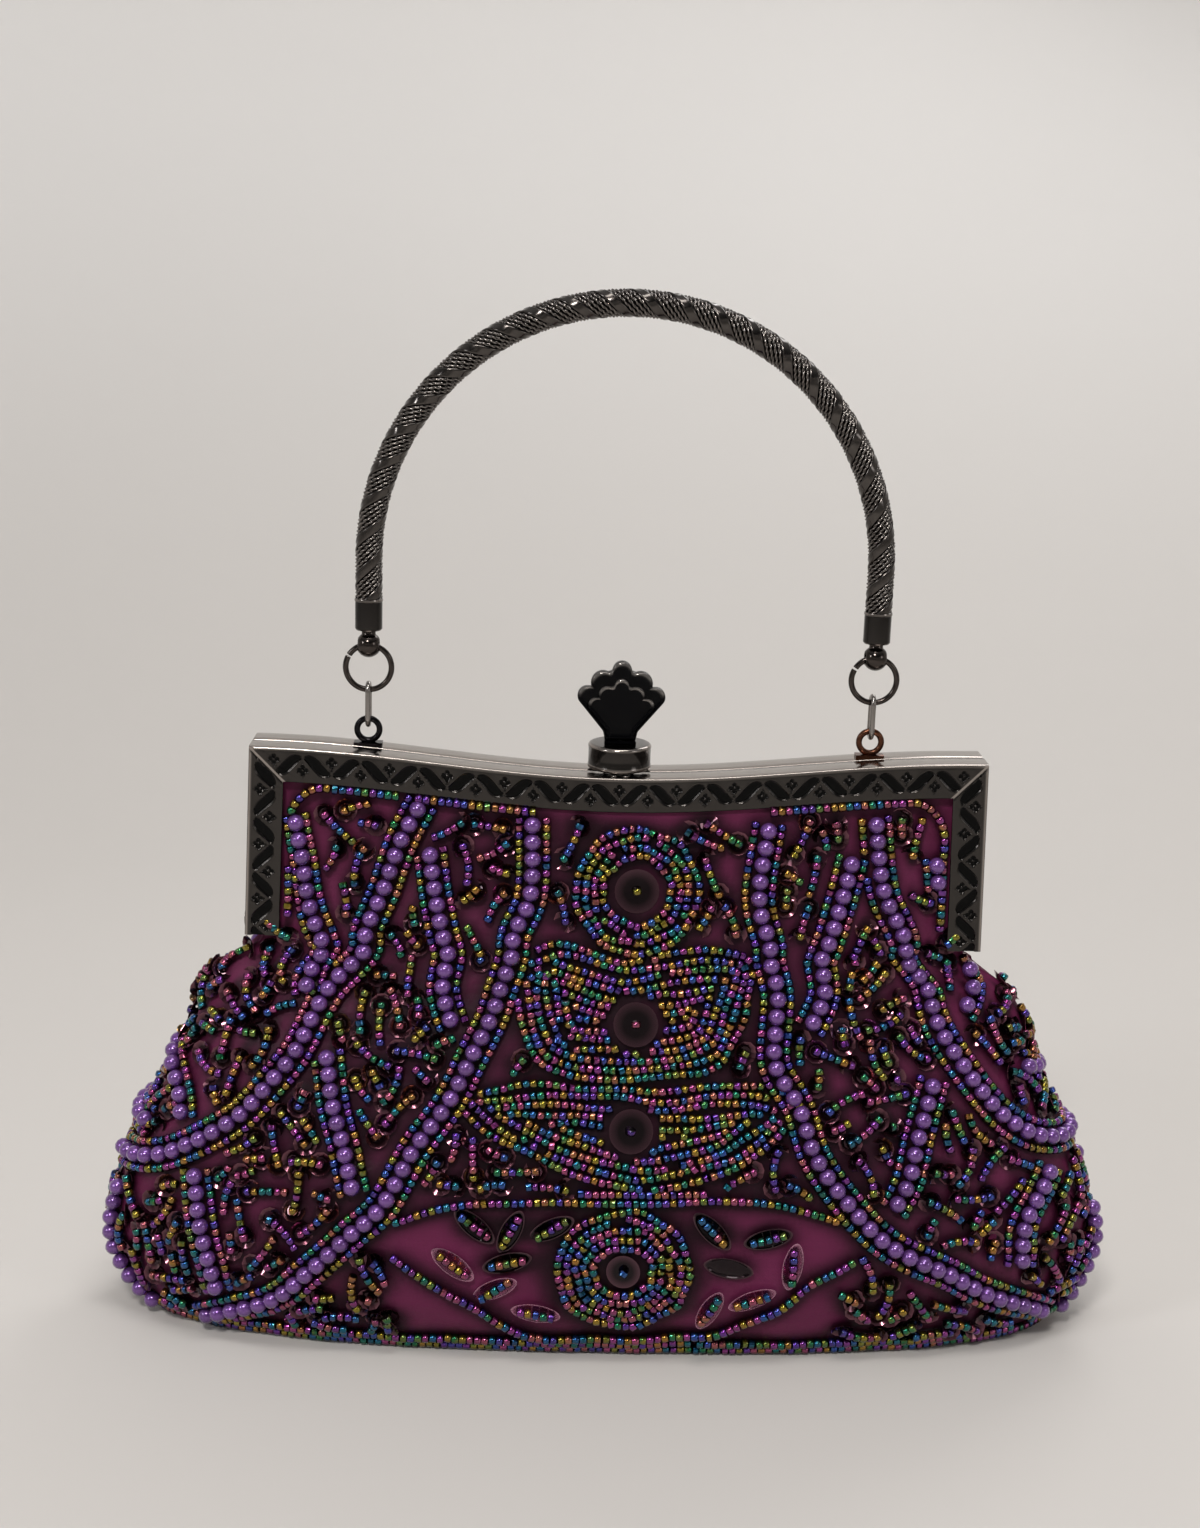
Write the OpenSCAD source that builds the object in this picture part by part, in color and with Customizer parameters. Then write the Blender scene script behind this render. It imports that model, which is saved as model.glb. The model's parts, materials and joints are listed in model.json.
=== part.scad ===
// Evening purse on a hinged metal frame, with one tilting knob clasp and an arched handle.
// Origin: middle of the base, on the surface that the purse stands on. +Z up, front towards -Y.

/* [Frame] */
// Width of the frame over its outer faces at the top corners
frame_w = 180; // [150:1:220]
// Height of the frame's top corners above the base
frame_top = 150; // [140:1:170]
// Height from the hinge axis to the frame's top corners
frame_h = 46; // [38:1:52]
// Depth of one frame half, front to back
half_depth = 7.2; // [6:0.1:10]
// Gap between the closed frame halves
half_gap = 0.6; // [0.4:0.1:1.2]
// Thickness of the frame's sheet metal
frame_t = 0.9; // [0.6:0.1:1.2]
// Width of the decorated band on the frame's face
band_w = 8.6; // [7:0.1:11]
// Width of the frame's inner wall, beside the gap
web_w = 5; // [3.5:0.1:6]
// How far the top edge dips in the middle
dip = 5.8; // [2:0.1:8]
// How far each arm leans outwards between its corner and its hinge
flare = 1.5; // [0:0.1:3]

/* [Hinge] */
// Radius of the hinge ears
ear_r = 3.6; // [3:0.1:4.2]
// Radius of the hinge pins
pin_r = 1.2; // [0.8:0.1:1.5]
// Running clearance round every pin
pin_clear = 0.05; // [0.02:0.01:0.1]
// Radius of the hinge pins' heads
pin_head_r = 2.1; // [1.8:0.1:2.4]
// Thickness of the hinge pins' heads
pin_head_t = 0.8; // [0.5:0.1:1.2]

/* [Bag] */
// Half width of the bag at its widest
bag_half_w = 126; // [115:1:135]
// Half depth of the bag at its deepest
bag_half_d = 31.5; // [26:0.5:38]
// Height at which the rigid lower pouch ends and the folding cloth begins
pouch_top = 90; // [84:1:92]
// Thickness of the beaded outer cloth with its backing
cloth_t = 1.5; // [1:0.1:2]
// Thickness of the lining
lining_t = 0.6; // [0.4:0.1:1]
// Gap between the outer cloth and the lining
lining_gap = 0.3; // [0.2:0.1:0.6]
// Thickness of the stiff board in the base
board_t = 2; // [1.5:0.1:3]
// How far the pearl strings stand proud of the cloth
string_rise = 3.8; // [2:0.1:4.5]
// Width of a pearl string with the seed lines beside it
string_w = 9; // [6:0.5:11]

/* [Clasp] */
// Outer radius of the clasp's drum
drum_r = 7.8; // [7:0.1:8.2]
// Height of the clasp's drum
drum_h = 6.2; // [5.5:0.1:8]
// Wall of the drum
drum_wall = 1; // [0.8:0.1:1.2]
// Distance of the drum's middle behind the frame's gap
drum_y = 1.5; // [1:0.1:2]
// Height of the shell finial above the drum
finial_h = 20.5; // [16:0.5:26]
// Thickness of the shell's main layer
shell_t = 3.2; // [2.5:0.1:4]
// How far the smaller shell stands proud on each side
overlay_t = 0.8; // [0.4:0.1:1.2]

/* [Handle] */
// Distance from the purse's middle to each handle leg, and radius of the arch
arch_r = 62; // [50:1:72]
// Height of the handle's straight legs above the ferrules
leg_h = 9.6; // [5:0.1:30]
// Radius of the wound sleeve on the handle
sleeve_r = 3.05; // [2.5:0.05:4]
// Radius of the steel rod in the handle
rod_r = 1.5; // [1:0.1:2]
// Thickness of the flat ribbons wound round the sleeve
ribbon_t = 0.3; // [0.2:0.05:0.5]
// Width of a ribbon along the handle
ribbon_w = 3.4; // [2:0.1:4]
// Turns of each of the two ribbons
ribbon_turns = 12; // [6:1:12]
// Length of a ferrule
ferrule_h = 8; // [6:0.5:12]
// Wall of a ferrule
ferrule_wall = 0.3; // [0.2:0.05:0.6]
// Distance of the handle's plane behind the frame's gap
chain_y = 2.4; // [2:0.1:4]

/* [Links and rings] */
// Radius of the hole in a lug's eye
lug_hole_r = 2; // [1.8:0.1:2.4]
// Radius of a lug's wire
lug_wire_r = 0.75; // [0.6:0.05:0.9]
// Length of an oval link over its ends
link_l = 11.6; // [10:0.1:14]
// Width of an oval link over its sides
link_w = 5; // [4.6:0.1:6]
// Radius of a link's wire
link_wire_r = 0.65; // [0.5:0.05:0.7]
// Outer diameter of a ring
ring_d = 12.6; // [11:0.1:16]
// Radius of a ring's wire
ring_wire_r = 0.72; // [0.6:0.02:0.8]
// Slack between a link and the wire it hangs on
chain_clear = 0.15; // [0.1:0.05:0.25]
// Radius of the ball at each end of the handle
ball_r = 3.1; // [2.9:0.1:3.4]

/* [Hidden] */
$fn = 48;

metal = [0.23, 0.22, 0.24];
bright = [0.55, 0.53, 0.55];
gloss_black = [0.03, 0.03, 0.04];
plum = [0.36, 0.14, 0.30];
plum_dark = [0.25, 0.09, 0.21];
card = [0.75, 0.72, 0.66];

// Frame heights and faces, worked out from the driving sizes
hinge_z = frame_top - frame_h;
gap_y = half_gap/2;
face_y = gap_y + half_depth;
hinge_x = frame_w/2 + flare;
curve_steps = 36;
face_below = 2;
ledge_z = frame_top - dip;

// Top edge of the frame: level at the corners, with a smooth dip in the middle
function top_z(x) = frame_top - dip*pow(cos(90*min(1, abs(x)/(frame_w/2))), 2);

// Outline of the frame in the XZ plane, drawn in by d, with its legs cut at height low
function frame_outline(d, low) = concat(
  [for (i = [0:curve_steps]) let (x = -(frame_w/2 - d) + i*(frame_w - 2*d)/curve_steps) [x, top_z(x) - d]],
  [[leg_x(low) - d, low], [-(leg_x(low) - d), low]]);
function leg_x(z) = frame_w/2 + flare*(frame_top - z)/frame_h;

// A slab of the frame's shape between two insets, from y = back forwards by depth
module frame_slab(d0, d1, low, y, depth) {
  translate([0, y, 0]) rotate([90, 0, 0]) linear_extrude(depth) difference() {
    polygon(frame_outline(d0, low));
    polygon(frame_outline(d1, low - 10));
  }
}

// Metal channel of one frame half, standing in front of the gap
module channel() {
  frame_slab(0, frame_t, hinge_z - face_below, -gap_y, half_depth);
  frame_slab(frame_t/2, band_w, hinge_z - face_below, -face_y + frame_t, frame_t);
  frame_slab(frame_t/2, web_w, hinge_z + ear_r + 1.5, -gap_y, frame_t);
}

module along_x(x0, x1, r) {
  translate([x0, 0, hinge_z]) rotate([0, 90, 0]) cylinder(r = r, h = x1 - x0);
}

// The rear's ears are a little thicker than the sheet, so that their inner faces clear the leaning walls
ear_gap = 0.2;
ear_extra = 0.15;
outer_ear_x = hinge_x - frame_t - ear_extra;
inner_ear_x = outer_ear_x - ear_gap - frame_t;

// Both halves overlap at the hinge: the rear's ears lie outside the front's
module rear_ears() {
  for (s = [0, 1]) mirror([s, 0, 0]) {
    along_x(outer_ear_x, hinge_x, ear_r);
    translate([outer_ear_x, gap_y, hinge_z]) cube([frame_t, ear_r, ear_r + 3]);
  }
}
module front_ears() {
  for (s = [0, 1]) mirror([s, 0, 0]) {
    along_x(inner_ear_x, inner_ear_x + frame_t, ear_r);
    translate([inner_ear_x, -face_y + frame_t/2, hinge_z])
      cube([frame_t, half_depth - frame_t/2, ear_r + 4]);
    translate([inner_ear_x, -face_y + frame_t/2, hinge_z + ear_r + 1])
      cube([outer_ear_x - inner_ear_x + frame_t/2, half_depth - frame_t/2, 3]);
  }
}

lug_stud_r = 0.9;
module rear_frame() {
  color(metal) difference() {
    union() {
      mirror([0, 1, 0]) channel();
      rear_ears();
    }
    // Room for the front half's ears, which turn inside these
    for (s = [0, 1]) mirror([s, 0, 0]) {
      along_x(inner_ear_x - 0.3, outer_ear_x - ear_gap/2, ear_r + 0.5);
      along_x(outer_ear_x - 1, hinge_x + 1, pin_r);
    }
    for (s = [-1, 1]) translate([s*arch_r, chain_y, frame_top - 6]) cylinder(r = lug_stud_r, h = 8);
    for (s = [-1, 1]) translate([s*bracket_stud_x, bracket_stud_y, ledge_z - 2]) cylinder(r = stud_r, h = 4);
  }
}

module front_frame() {
  color(metal) difference() {
    union() {
      channel();
      front_ears();
    }
    for (s = [0, 1]) mirror([s, 0, 0]) {
      // The outer wall is cut back round the rear half's ears
      along_x(inner_ear_x + frame_t + ear_gap/2, hinge_x + 1, ear_r + 0.5);
      along_x(inner_ear_x - 1, hinge_x + 1, pin_r + pin_clear);
    }
    // Slot for the catch tongue and holes for its rivets
    translate([-tongue_w/2 - 0.3, tongue_y - 0.3, ledge_z - 2]) cube([tongue_w + 0.6, tongue_t + 0.6, 4]);
    for (s = [-1, 1]) translate([s*rivet_x, rivet_y, ledge_z - 2]) cylinder(r = rivet_r, h = 4);
  }
}

// Riveted pin through both ears, with a head on each end that clears the leaning wall
pin_head_x = hinge_x + flare*face_below/frame_h + 0.03;
module hinge_pin(s) {
  color(bright) mirror([s, 0, 0]) {
    along_x(inner_ear_x - 0.1, pin_head_x + 0.1, pin_r);
    along_x(pin_head_x, pin_head_x + pin_head_t, pin_head_r);
    along_x(inner_ear_x - 0.05 - pin_head_t, inner_ear_x - 0.05, pin_head_r);
  }
}
module hinge_pin_left() { hinge_pin(1); }
module hinge_pin_right() { hinge_pin(0); }

// Eye lug: foot on the rear ledge, stud through it, and a ring that faces the front
lug_ledge_z = top_z(arch_r);
lug_eye_r = lug_hole_r + lug_wire_r;
lug_eye_z = lug_ledge_z + 0.5 + lug_eye_r + lug_wire_r;
lug_foot = [7, 3.2, 0.9];
module lug(s) {
  color(metal) difference() {
    union() {
      translate([s*arch_r, chain_y, lug_eye_z]) rotate([90, 0, 0])
        rotate_extrude() translate([lug_eye_r, 0]) circle(r = lug_wire_r, $fn = 24);
      translate([s*arch_r - lug_foot[0]/2, chain_y - lug_foot[1]/2, lug_ledge_z - 0.5])
        cube([lug_foot[0], lug_foot[1], lug_foot[2] + 0.5]);
      translate([s*arch_r, chain_y, lug_ledge_z - 2.4]) cylinder(r = lug_stud_r, h = 3);
    }
    // The foot follows the ledge, apart from the stud
    difference() {
      translate([0, face_y, 0]) rotate([90, 0, 0]) linear_extrude(2*face_y)
        polygon(frame_outline(0, hinge_z));
      translate([s*arch_r, chain_y, frame_top - 12]) cylinder(r = lug_stud_r, h = 20);
    }
  }
}
module lug_left() { lug(-1); }
module lug_right() { lug(1); }

// Oval link, edge on to the front, hung on the top of the lug's ring
lug_wire_z = lug_eye_z + lug_eye_r;
link_bend_r = link_w/2 - link_wire_r;
link_inner_low = lug_wire_z - lug_wire_r - chain_clear;
link_low_z = link_inner_low + link_bend_r - link_wire_r;
link_high_z = link_inner_low - link_wire_r*2 + link_l - link_w/2;
module link(s) {
  color(bright) translate([s*arch_r, chain_y, 0]) {
    for (y = [-link_bend_r, link_bend_r])
      translate([0, y, link_low_z]) cylinder(r = link_wire_r, h = link_high_z - link_low_z, $fn = 24);
    translate([0, 0, link_high_z]) link_bend();
    translate([0, 0, link_low_z]) mirror([0, 0, 1]) link_bend();
  }
}
module link_bend() {
  rotate([90, 0, 90]) rotate_extrude(angle = 180) translate([link_bend_r, 0])
    circle(r = link_wire_r, $fn = 24);
}
module link_left() { link(-1); }
module link_right() { link(1); }

// Split ring, facing the front, whose lowest wire lies in the link's upper bend
ring_r = ring_d/2 - ring_wire_r;
ring_low_z = link_high_z + link_bend_r - link_wire_r - chain_clear - ring_wire_r;
ring_z = ring_low_z + ring_r;
ring_high_z = ring_z + ring_r;
ring_gap_deg = 5;
ring_gap_at = 150;
module ring(s) {
  color(bright) translate([s*arch_r, chain_y, ring_z]) rotate([90, 0, 0])
    rotate([0, 0, ring_gap_at + ring_gap_deg/2]) rotate_extrude(angle = 360 - ring_gap_deg)
      translate([ring_r, 0]) circle(r = ring_wire_r, $fn = 24);
}
module ring_left() { ring(-1); }
module ring_right() { ring(1); }

// Ball that ends the handle, with a flared hole along X for the ring
ball_hole_r = ring_wire_r + 0.3;
ball_flare = 0.7;
ball_neck_r = 1.7;
ferrule_z = ring_high_z + ball_r + 0.5;
ferrule_floor = 1;
module end_ball(s) {
  color(metal) difference() {
    union() {
      translate([s*arch_r, chain_y, ring_high_z]) sphere(r = ball_r);
      translate([s*arch_r, chain_y, ring_high_z + 1]) cylinder(r = ball_neck_r, h = ferrule_z - ring_high_z - 1);
    }
    translate([s*arch_r, chain_y, ring_high_z]) rotate([0, 90, 0]) {
      cylinder(r = ball_hole_r, h = 4*ball_r, center = true);
      for (m = [0, 1]) mirror([0, 0, m])
        translate([0, 0, 0.6]) cylinder(r1 = ball_hole_r, r2 = ball_hole_r + ball_flare*1.5, h = ball_r*0.9);
    }
  }
}
module end_ball_left() { end_ball(-1); }
module end_ball_right() { end_ball(1); }

// Ferrule: a cup that the end of the sleeve is pressed into
module ferrule(s) {
  color(metal) translate([s*arch_r, chain_y, ferrule_z]) difference() {
    cylinder(r = sleeve_r + ferrule_wall, h = ferrule_h);
    translate([0, 0, ferrule_floor]) cylinder(r = sleeve_r, h = ferrule_h);
  }
}
module ferrule_left() { ferrule(-1); }
module ferrule_right() { ferrule(1); }

// Handle: straight legs and a half circle, as a rod inside a wound sleeve
sleeve_low = ferrule_z + ferrule_floor;
arch_z = ferrule_z + ferrule_h + leg_h;
module arch(r_out, r_in) {
  translate([0, chain_y, 0]) {
    for (s = [-1, 1]) translate([s*arch_r, 0, sleeve_low]) difference() {
      cylinder(r = r_out, h = arch_z - sleeve_low);
      if (r_in > 0) translate([0, 0, -1]) cylinder(r = r_in, h = arch_z - sleeve_low + 2);
    }
    translate([0, 0, arch_z]) rotate([90, 0, 0]) rotate_extrude(angle = 180, $fn = 96)
      translate([arch_r, 0]) difference() {
        circle(r = r_out);
        if (r_in > 0) circle(r = r_in);
      }
  }
}
module handle_rod() { color(bright) arch(rod_r, 0); }
module handle_sleeve() { color(metal) arch(sleeve_r, rod_r); }

// Two flat ribbons wound round the sleeve, half a turn apart
ribbon_lift = 0.1;
ribbon_end_gap = 2;
ribbon_steps = 20;
leg_run = leg_h - ribbon_end_gap;
arch_run = PI*arch_r;
wound_run = 2*leg_run + arch_run;
lay = (wound_run - ribbon_w)/ribbon_turns;
// Point at distance s along the wound run, at angle a round it and radius r from its middle
function on_handle(s, a, r) = let (t = s - leg_run)
  t < 0 ? [-arch_r - r*cos(a), chain_y + r*sin(a), arch_z + t] :
  t > arch_run ? [arch_r + r*cos(a), chain_y + r*sin(a), arch_z + arch_run - t] :
  let (b = 180*t/arch_run) [-(arch_r + r*cos(a))*cos(b), chain_y + r*sin(a), arch_z + (arch_r + r*cos(a))*sin(b)];
function ribbon_points(start) = [for (i = [0:ribbon_turns*ribbon_steps]) let (turn = i/ribbon_steps,
  a = start + 360*turn, s = lay*turn) each [
    on_handle(s, a, sleeve_r + ribbon_lift), on_handle(s + ribbon_w, a, sleeve_r + ribbon_lift),
    on_handle(s + ribbon_w, a, sleeve_r + ribbon_lift + ribbon_t), on_handle(s, a, sleeve_r + ribbon_lift + ribbon_t)]];
// Least gap between neighbouring turns of the two ribbons, measured on their edge points
function ribbon_gap() = let (p = ribbon_points(0), q = ribbon_points(180), half = ribbon_steps/2)
  min([for (i = [half:ribbon_turns*ribbon_steps]) norm(p[4*i] - q[4*(i - half) + 1])]);
echo(str("least gap between ribbon turns: ", ribbon_gap(), " mm"));
module handle_ribbons() {
  color(metal) for (start = [0, 180]) tube(ribbon_points(start), 4);
}

// Closed tube through rings of n points each, listed ring after ring
module tube(p, n) {
  rings = len(p)/n;
  polyhedron(p, concat(
    [[for (k = [0:n - 1]) k]],
    [for (i = [0:rings - 2], k = [0:n - 1]) let (a = i*n + k, b = i*n + (k + 1)%n) each
      [[a, a + n, b + n], [a, b + n, b]]],
    [[for (k = [n - 1:-1:0]) (rings - 1)*n + k]]), convexity = 10);
}

// Clasp: a drum that tilts back on a pin held by a bracket on the rear half
drum_z = ledge_z + 0.8;
clasp_pin_r = 0.6;
clasp_pin_y = 5.8;
clasp_pin_z = ledge_z + 2.4;
bracket_ear_x = 3;
bracket_ear_t = 0.8;
bracket_ear_r = 1.2;
bracket_t = 0.5;
bracket_seat_z = ledge_z + 0.12;
bracket_stud_x = 1.9;
bracket_stud_y = 3.6;
stud_r = 0.5;
module across_clasp(x0, x1, r) {
  translate([x0, clasp_pin_y, clasp_pin_z]) rotate([0, 90, 0]) cylinder(r = r, h = x1 - x0, $fn = 32);
}
bracket_half_w = bracket_ear_x + bracket_ear_t;
module clasp_bracket() {
  color(bright) difference() {
    union() {
      translate([-bracket_half_w, 2.4, bracket_seat_z]) cube([2*bracket_half_w, 4.9, bracket_t]);
      for (s = [0, 1]) mirror([s, 0, 0]) {
        translate([bracket_ear_x, clasp_pin_y - bracket_ear_r, bracket_seat_z])
          cube([bracket_ear_t, 2*bracket_ear_r, clasp_pin_z - bracket_seat_z]);
        across_clasp(bracket_ear_x, bracket_ear_x + bracket_ear_t, bracket_ear_r);
      }
      for (s = [-1, 1]) translate([s*bracket_stud_x, bracket_stud_y, ledge_z - frame_t - 0.4])
        cylinder(r = stud_r, h = frame_t + 0.8, $fn = 24);
    }
    across_clasp(-bracket_half_w - 1, bracket_half_w + 1, clasp_pin_r);
  }
}
module clasp_pin() { color(bright) across_clasp(-bracket_half_w, bracket_half_w, clasp_pin_r); }

// Torsion spring beside the drum's knuckle, one leg on the bracket and one under the drum's top
knuckle_half_w = 1;
spring_wire_r = 0.18;
spring_r = clasp_pin_r + 0.3 + spring_wire_r;
spring_turns = 3;
spring_steps = 14;
spring_x = knuckle_half_w + 0.3;
spring_pitch = 0.45;
spring_path = concat(
  [[spring_x, clasp_pin_y - 3, clasp_pin_z - spring_r]],
  [for (i = [0:spring_turns*spring_steps]) let (a = 360*i/spring_steps - 90)
    [spring_x + spring_pitch*i/spring_steps, clasp_pin_y + spring_r*cos(a), clasp_pin_z + spring_r*sin(a)]],
  [[spring_x + spring_pitch*spring_turns, clasp_pin_y - 3, clasp_pin_z - spring_r + 1.6]]);
module clasp_spring() {
  color(bright) tube([for (i = [0:len(spring_path) - 1]) let (p = spring_path[i],
    ahead = spring_path[min(i + 1, len(spring_path) - 1)] - spring_path[max(i - 1, 0)],
    side = [1, 0, 0], up = cross(ahead/norm(ahead), side)) each
    [for (k = [0:5]) p + spring_wire_r*(cos(60*k)*side + sin(60*k)*up/norm(up))]], 6);
}

cavity_r = drum_r - drum_wall;
drum_top_t = 1.2;
screw_r = 1;
module clasp_drum() {
  color(metal) difference() {
    union() {
      difference() {
        translate([0, drum_y, drum_z]) cylinder(r = drum_r, h = drum_h);
        translate([0, drum_y, drum_z - 1]) cylinder(r = cavity_r, h = drum_h - drum_top_t + 1);
      }
      // Knuckle on the pin
      translate([-knuckle_half_w, clasp_pin_y - 1.3, clasp_pin_z])
        cube([2*knuckle_half_w, 2.6, drum_z + drum_h - drum_top_t - clasp_pin_z + 0.2]);
      across_clasp(-knuckle_half_w, knuckle_half_w, 1.3);
    }
    across_clasp(-knuckle_half_w - 1, knuckle_half_w + 1, clasp_pin_r + pin_clear);
    translate([0, drum_y, drum_z]) cylinder(r = screw_r, h = drum_h + 1, $fn = 32);
    // The rear of the rim is cut back so that the drum can tilt
    translate([-drum_r, clasp_pin_y, drum_z - 1]) cube([2*drum_r, drum_r, 2.1]);
  }
}
screw_head_r = 1.9;
screw_grip = 2.5;
module finial_screw() {
  ceiling = drum_z + drum_h - drum_top_t;
  color(bright) translate([0, drum_y, 0]) {
    translate([0, 0, ceiling - 0.7]) cylinder(r = screw_head_r, h = 0.7, $fn = 32);
    translate([0, 0, ceiling - 0.1]) cylinder(r = screw_r, h = drum_top_t + screw_grip, $fn = 32);
  }
}

// Scallop shell, drawn at the height that its lobes were measured at, then brought to finial_h
shell_drawn_h = 19.7;
pad_t = 0.8;
module scallop() {
  translate([0, 17.3]) circle(r = 2.4);
  for (s = [-1, 1]) {
    translate([s*4.6, 14.2]) circle(r = 3);
    translate([s*8.4, 10.9]) circle(r = 2.4);
  }
  polygon([[-3.8, 0], [3.8, 0], [4.3, 2.2], [10.1, 9.2], [8.4, 12.4], [4.6, 16.4], [0, 18.4],
    [-4.6, 16.4], [-8.4, 12.4], [-10.1, 9.2], [-4.3, 2.2]]);
}
module shell_finial() {
  top = drum_z + drum_h;
  k = (finial_h - pad_t)/shell_drawn_h;
  color(gloss_black) difference() {
    translate([0, drum_y, top]) {
      translate([-3.9, -shell_t/2 - 0.5, 0]) cube([7.8, shell_t + 1, pad_t]);
      translate([0, 0, pad_t]) scale(k) rotate([90, 0, 0]) {
        linear_extrude(shell_t/k, center = true) scallop();
        linear_extrude((shell_t + 2*overlay_t)/k, center = true) scale(0.76) scallop();
      }
    }
    translate([0, drum_y, top - 1]) cylinder(r = screw_r, h = screw_grip + 1, $fn = 32);
  }
}

// Spring tongue of the front half: a strip under the ledge, up through its slot and hooked forwards
tongue_w = 4.6;
tongue_t = 0.4;
tongue_y = -2.6;
tongue_foot = 4.3;
tongue_top = drum_z + drum_h - drum_top_t - 1.6;
nose_y = drum_y - cavity_r + 0.4;
rivet_x = 1.4;
rivet_y = tongue_y - 2.7;
rivet_r = 0.45;
rivet_head_r = 0.9;
module catch_tongue() {
  foot_z = ledge_z - frame_t - 0.2 - tongue_t;
  color(bright) difference() {
    union() {
      translate([-tongue_w/2, tongue_y + tongue_t - tongue_foot, foot_z]) cube([tongue_w, tongue_foot, tongue_t]);
      translate([-tongue_w/2, tongue_y, foot_z]) cube([tongue_w, tongue_t, tongue_top - foot_z]);
      translate([-tongue_w/2, nose_y, tongue_top - tongue_t]) cube([tongue_w, tongue_y - nose_y + tongue_t, tongue_t]);
      translate([-tongue_w/2, nose_y, tongue_top - 1.2]) cube([tongue_w, tongue_t, 1.2]);
    }
    for (s = [-1, 1]) translate([s*rivet_x, rivet_y, foot_z - 1]) cylinder(r = rivet_r, h = 3, $fn = 24);
  }
}
module catch_rivets() {
  under = ledge_z - frame_t - 0.2 - tongue_t;
  color(bright) for (s = [-1, 1]) translate([s*rivet_x, rivet_y, 0]) {
    translate([0, 0, under]) cylinder(r = rivet_r, h = ledge_z + 0.3 - under, $fn = 24);
    translate([0, 0, ledge_z + 0.06]) cylinder(r = rivet_head_r, h = 0.34, $fn = 24);
    translate([0, 0, under - 0.35]) cylinder(r = rivet_head_r, h = 0.35, $fn = 24);
  }
}

// Bag: half width and half depth at a few heights, joined by a smooth curve.
// Below the hinge the heights are shares of hinge_z and the sizes shares of the widest ones.
arm_inner_x = frame_w/2 - frame_t - 1.6;
cloth_clear = 0.3;
// Half depth of the cloth where the frame holds its edge, and where it comes out below the band
cloth_y = face_y - frame_t - 2.1;
cloth_rim_y = face_y - frame_t - cloth_clear;
// How far the cloth bulges past its held edge at the hinge
hinge_bulge = 8;
half_widths = [[0, 0.897*bag_half_w], [0.075*hinge_z, 0.96*bag_half_w], [0.19*hinge_z, bag_half_w],
  [0.33*hinge_z, 0.989*bag_half_w], [0.5*hinge_z, 0.9325*bag_half_w], [0.69*hinge_z, 0.853*bag_half_w],
  [pouch_top, 0.794*bag_half_w], [hinge_z - ear_r - 0.6, arm_inner_x + 0.8], [hinge_z, arm_inner_x + 0.8],
  [frame_top, arm_inner_x]];
half_depths = [[0, 0.762*bag_half_d], [0.075*hinge_z, 0.92*bag_half_d], [0.19*hinge_z, bag_half_d],
  [0.33*hinge_z, 0.981*bag_half_d], [0.5*hinge_z, 0.873*bag_half_d], [0.69*hinge_z, 0.683*bag_half_d],
  [pouch_top, 0.524*bag_half_d], [hinge_z, cloth_y + hinge_bulge], [hinge_z + 0.4*frame_h, cloth_y + 0.5*hinge_bulge],
  [ledge_z - band_w, cloth_rim_y], [frame_top, cloth_y + 0.2]];

// Smooth curve through table p at height z, with the slope at each point taken from its neighbours
function slope(p, i) = let (a = max(i - 1, 0), b = min(i + 1, len(p) - 1)) (p[b][1] - p[a][1])/(p[b][0] - p[a][0]);
function span(p, z) = min(len(p) - 2, len([for (q = p) if (q[0] <= z) 1]) - 1);
function smooth(p, z) = let (i = span(p, z), h = p[i + 1][0] - p[i][0], u = (z - p[i][0])/h)
  p[i][1]*(2*pow(u, 3) - 3*u*u + 1) + slope(p, i)*h*(pow(u, 3) - 2*u*u + u)
  + p[i + 1][1]*(3*u*u - 2*pow(u, 3)) + slope(p, i + 1)*h*(pow(u, 3) - u*u);
function ease(z, z0, z1) = let (u = max(0, min(1, (z - z0)/(z1 - z0)))) u*u*(3 - 2*u);

// Half depth at the side seam, and how full the section is: low is boxy, one is a pillow
function edge_depth(z) = cloth_y*ease(z, pouch_top, hinge_z);
function fullness(z) = 0.42 + 0.58*ease(z, 0.69*hinge_z, hinge_z);
side_steps = 20;

// Point of the cloth on the front (side -1) or the back (side 1): u runs from the left seam, -1,
// to the right seam, 1, and the surface is drawn in by d
function cloth(side, u, z, d) = let (a = abs(90*u), e = edge_depth(z), b = smooth(half_depths, z))
  [(u < 0 ? -1 : 1)*(smooth(half_widths, z) - (z < hinge_z ? d : 0))*pow(sin(a), 0.8),
   side*(max(e - d, 0) + (b - max(e, d))*pow(cos(a), 2*fullness(z))), z];

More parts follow.
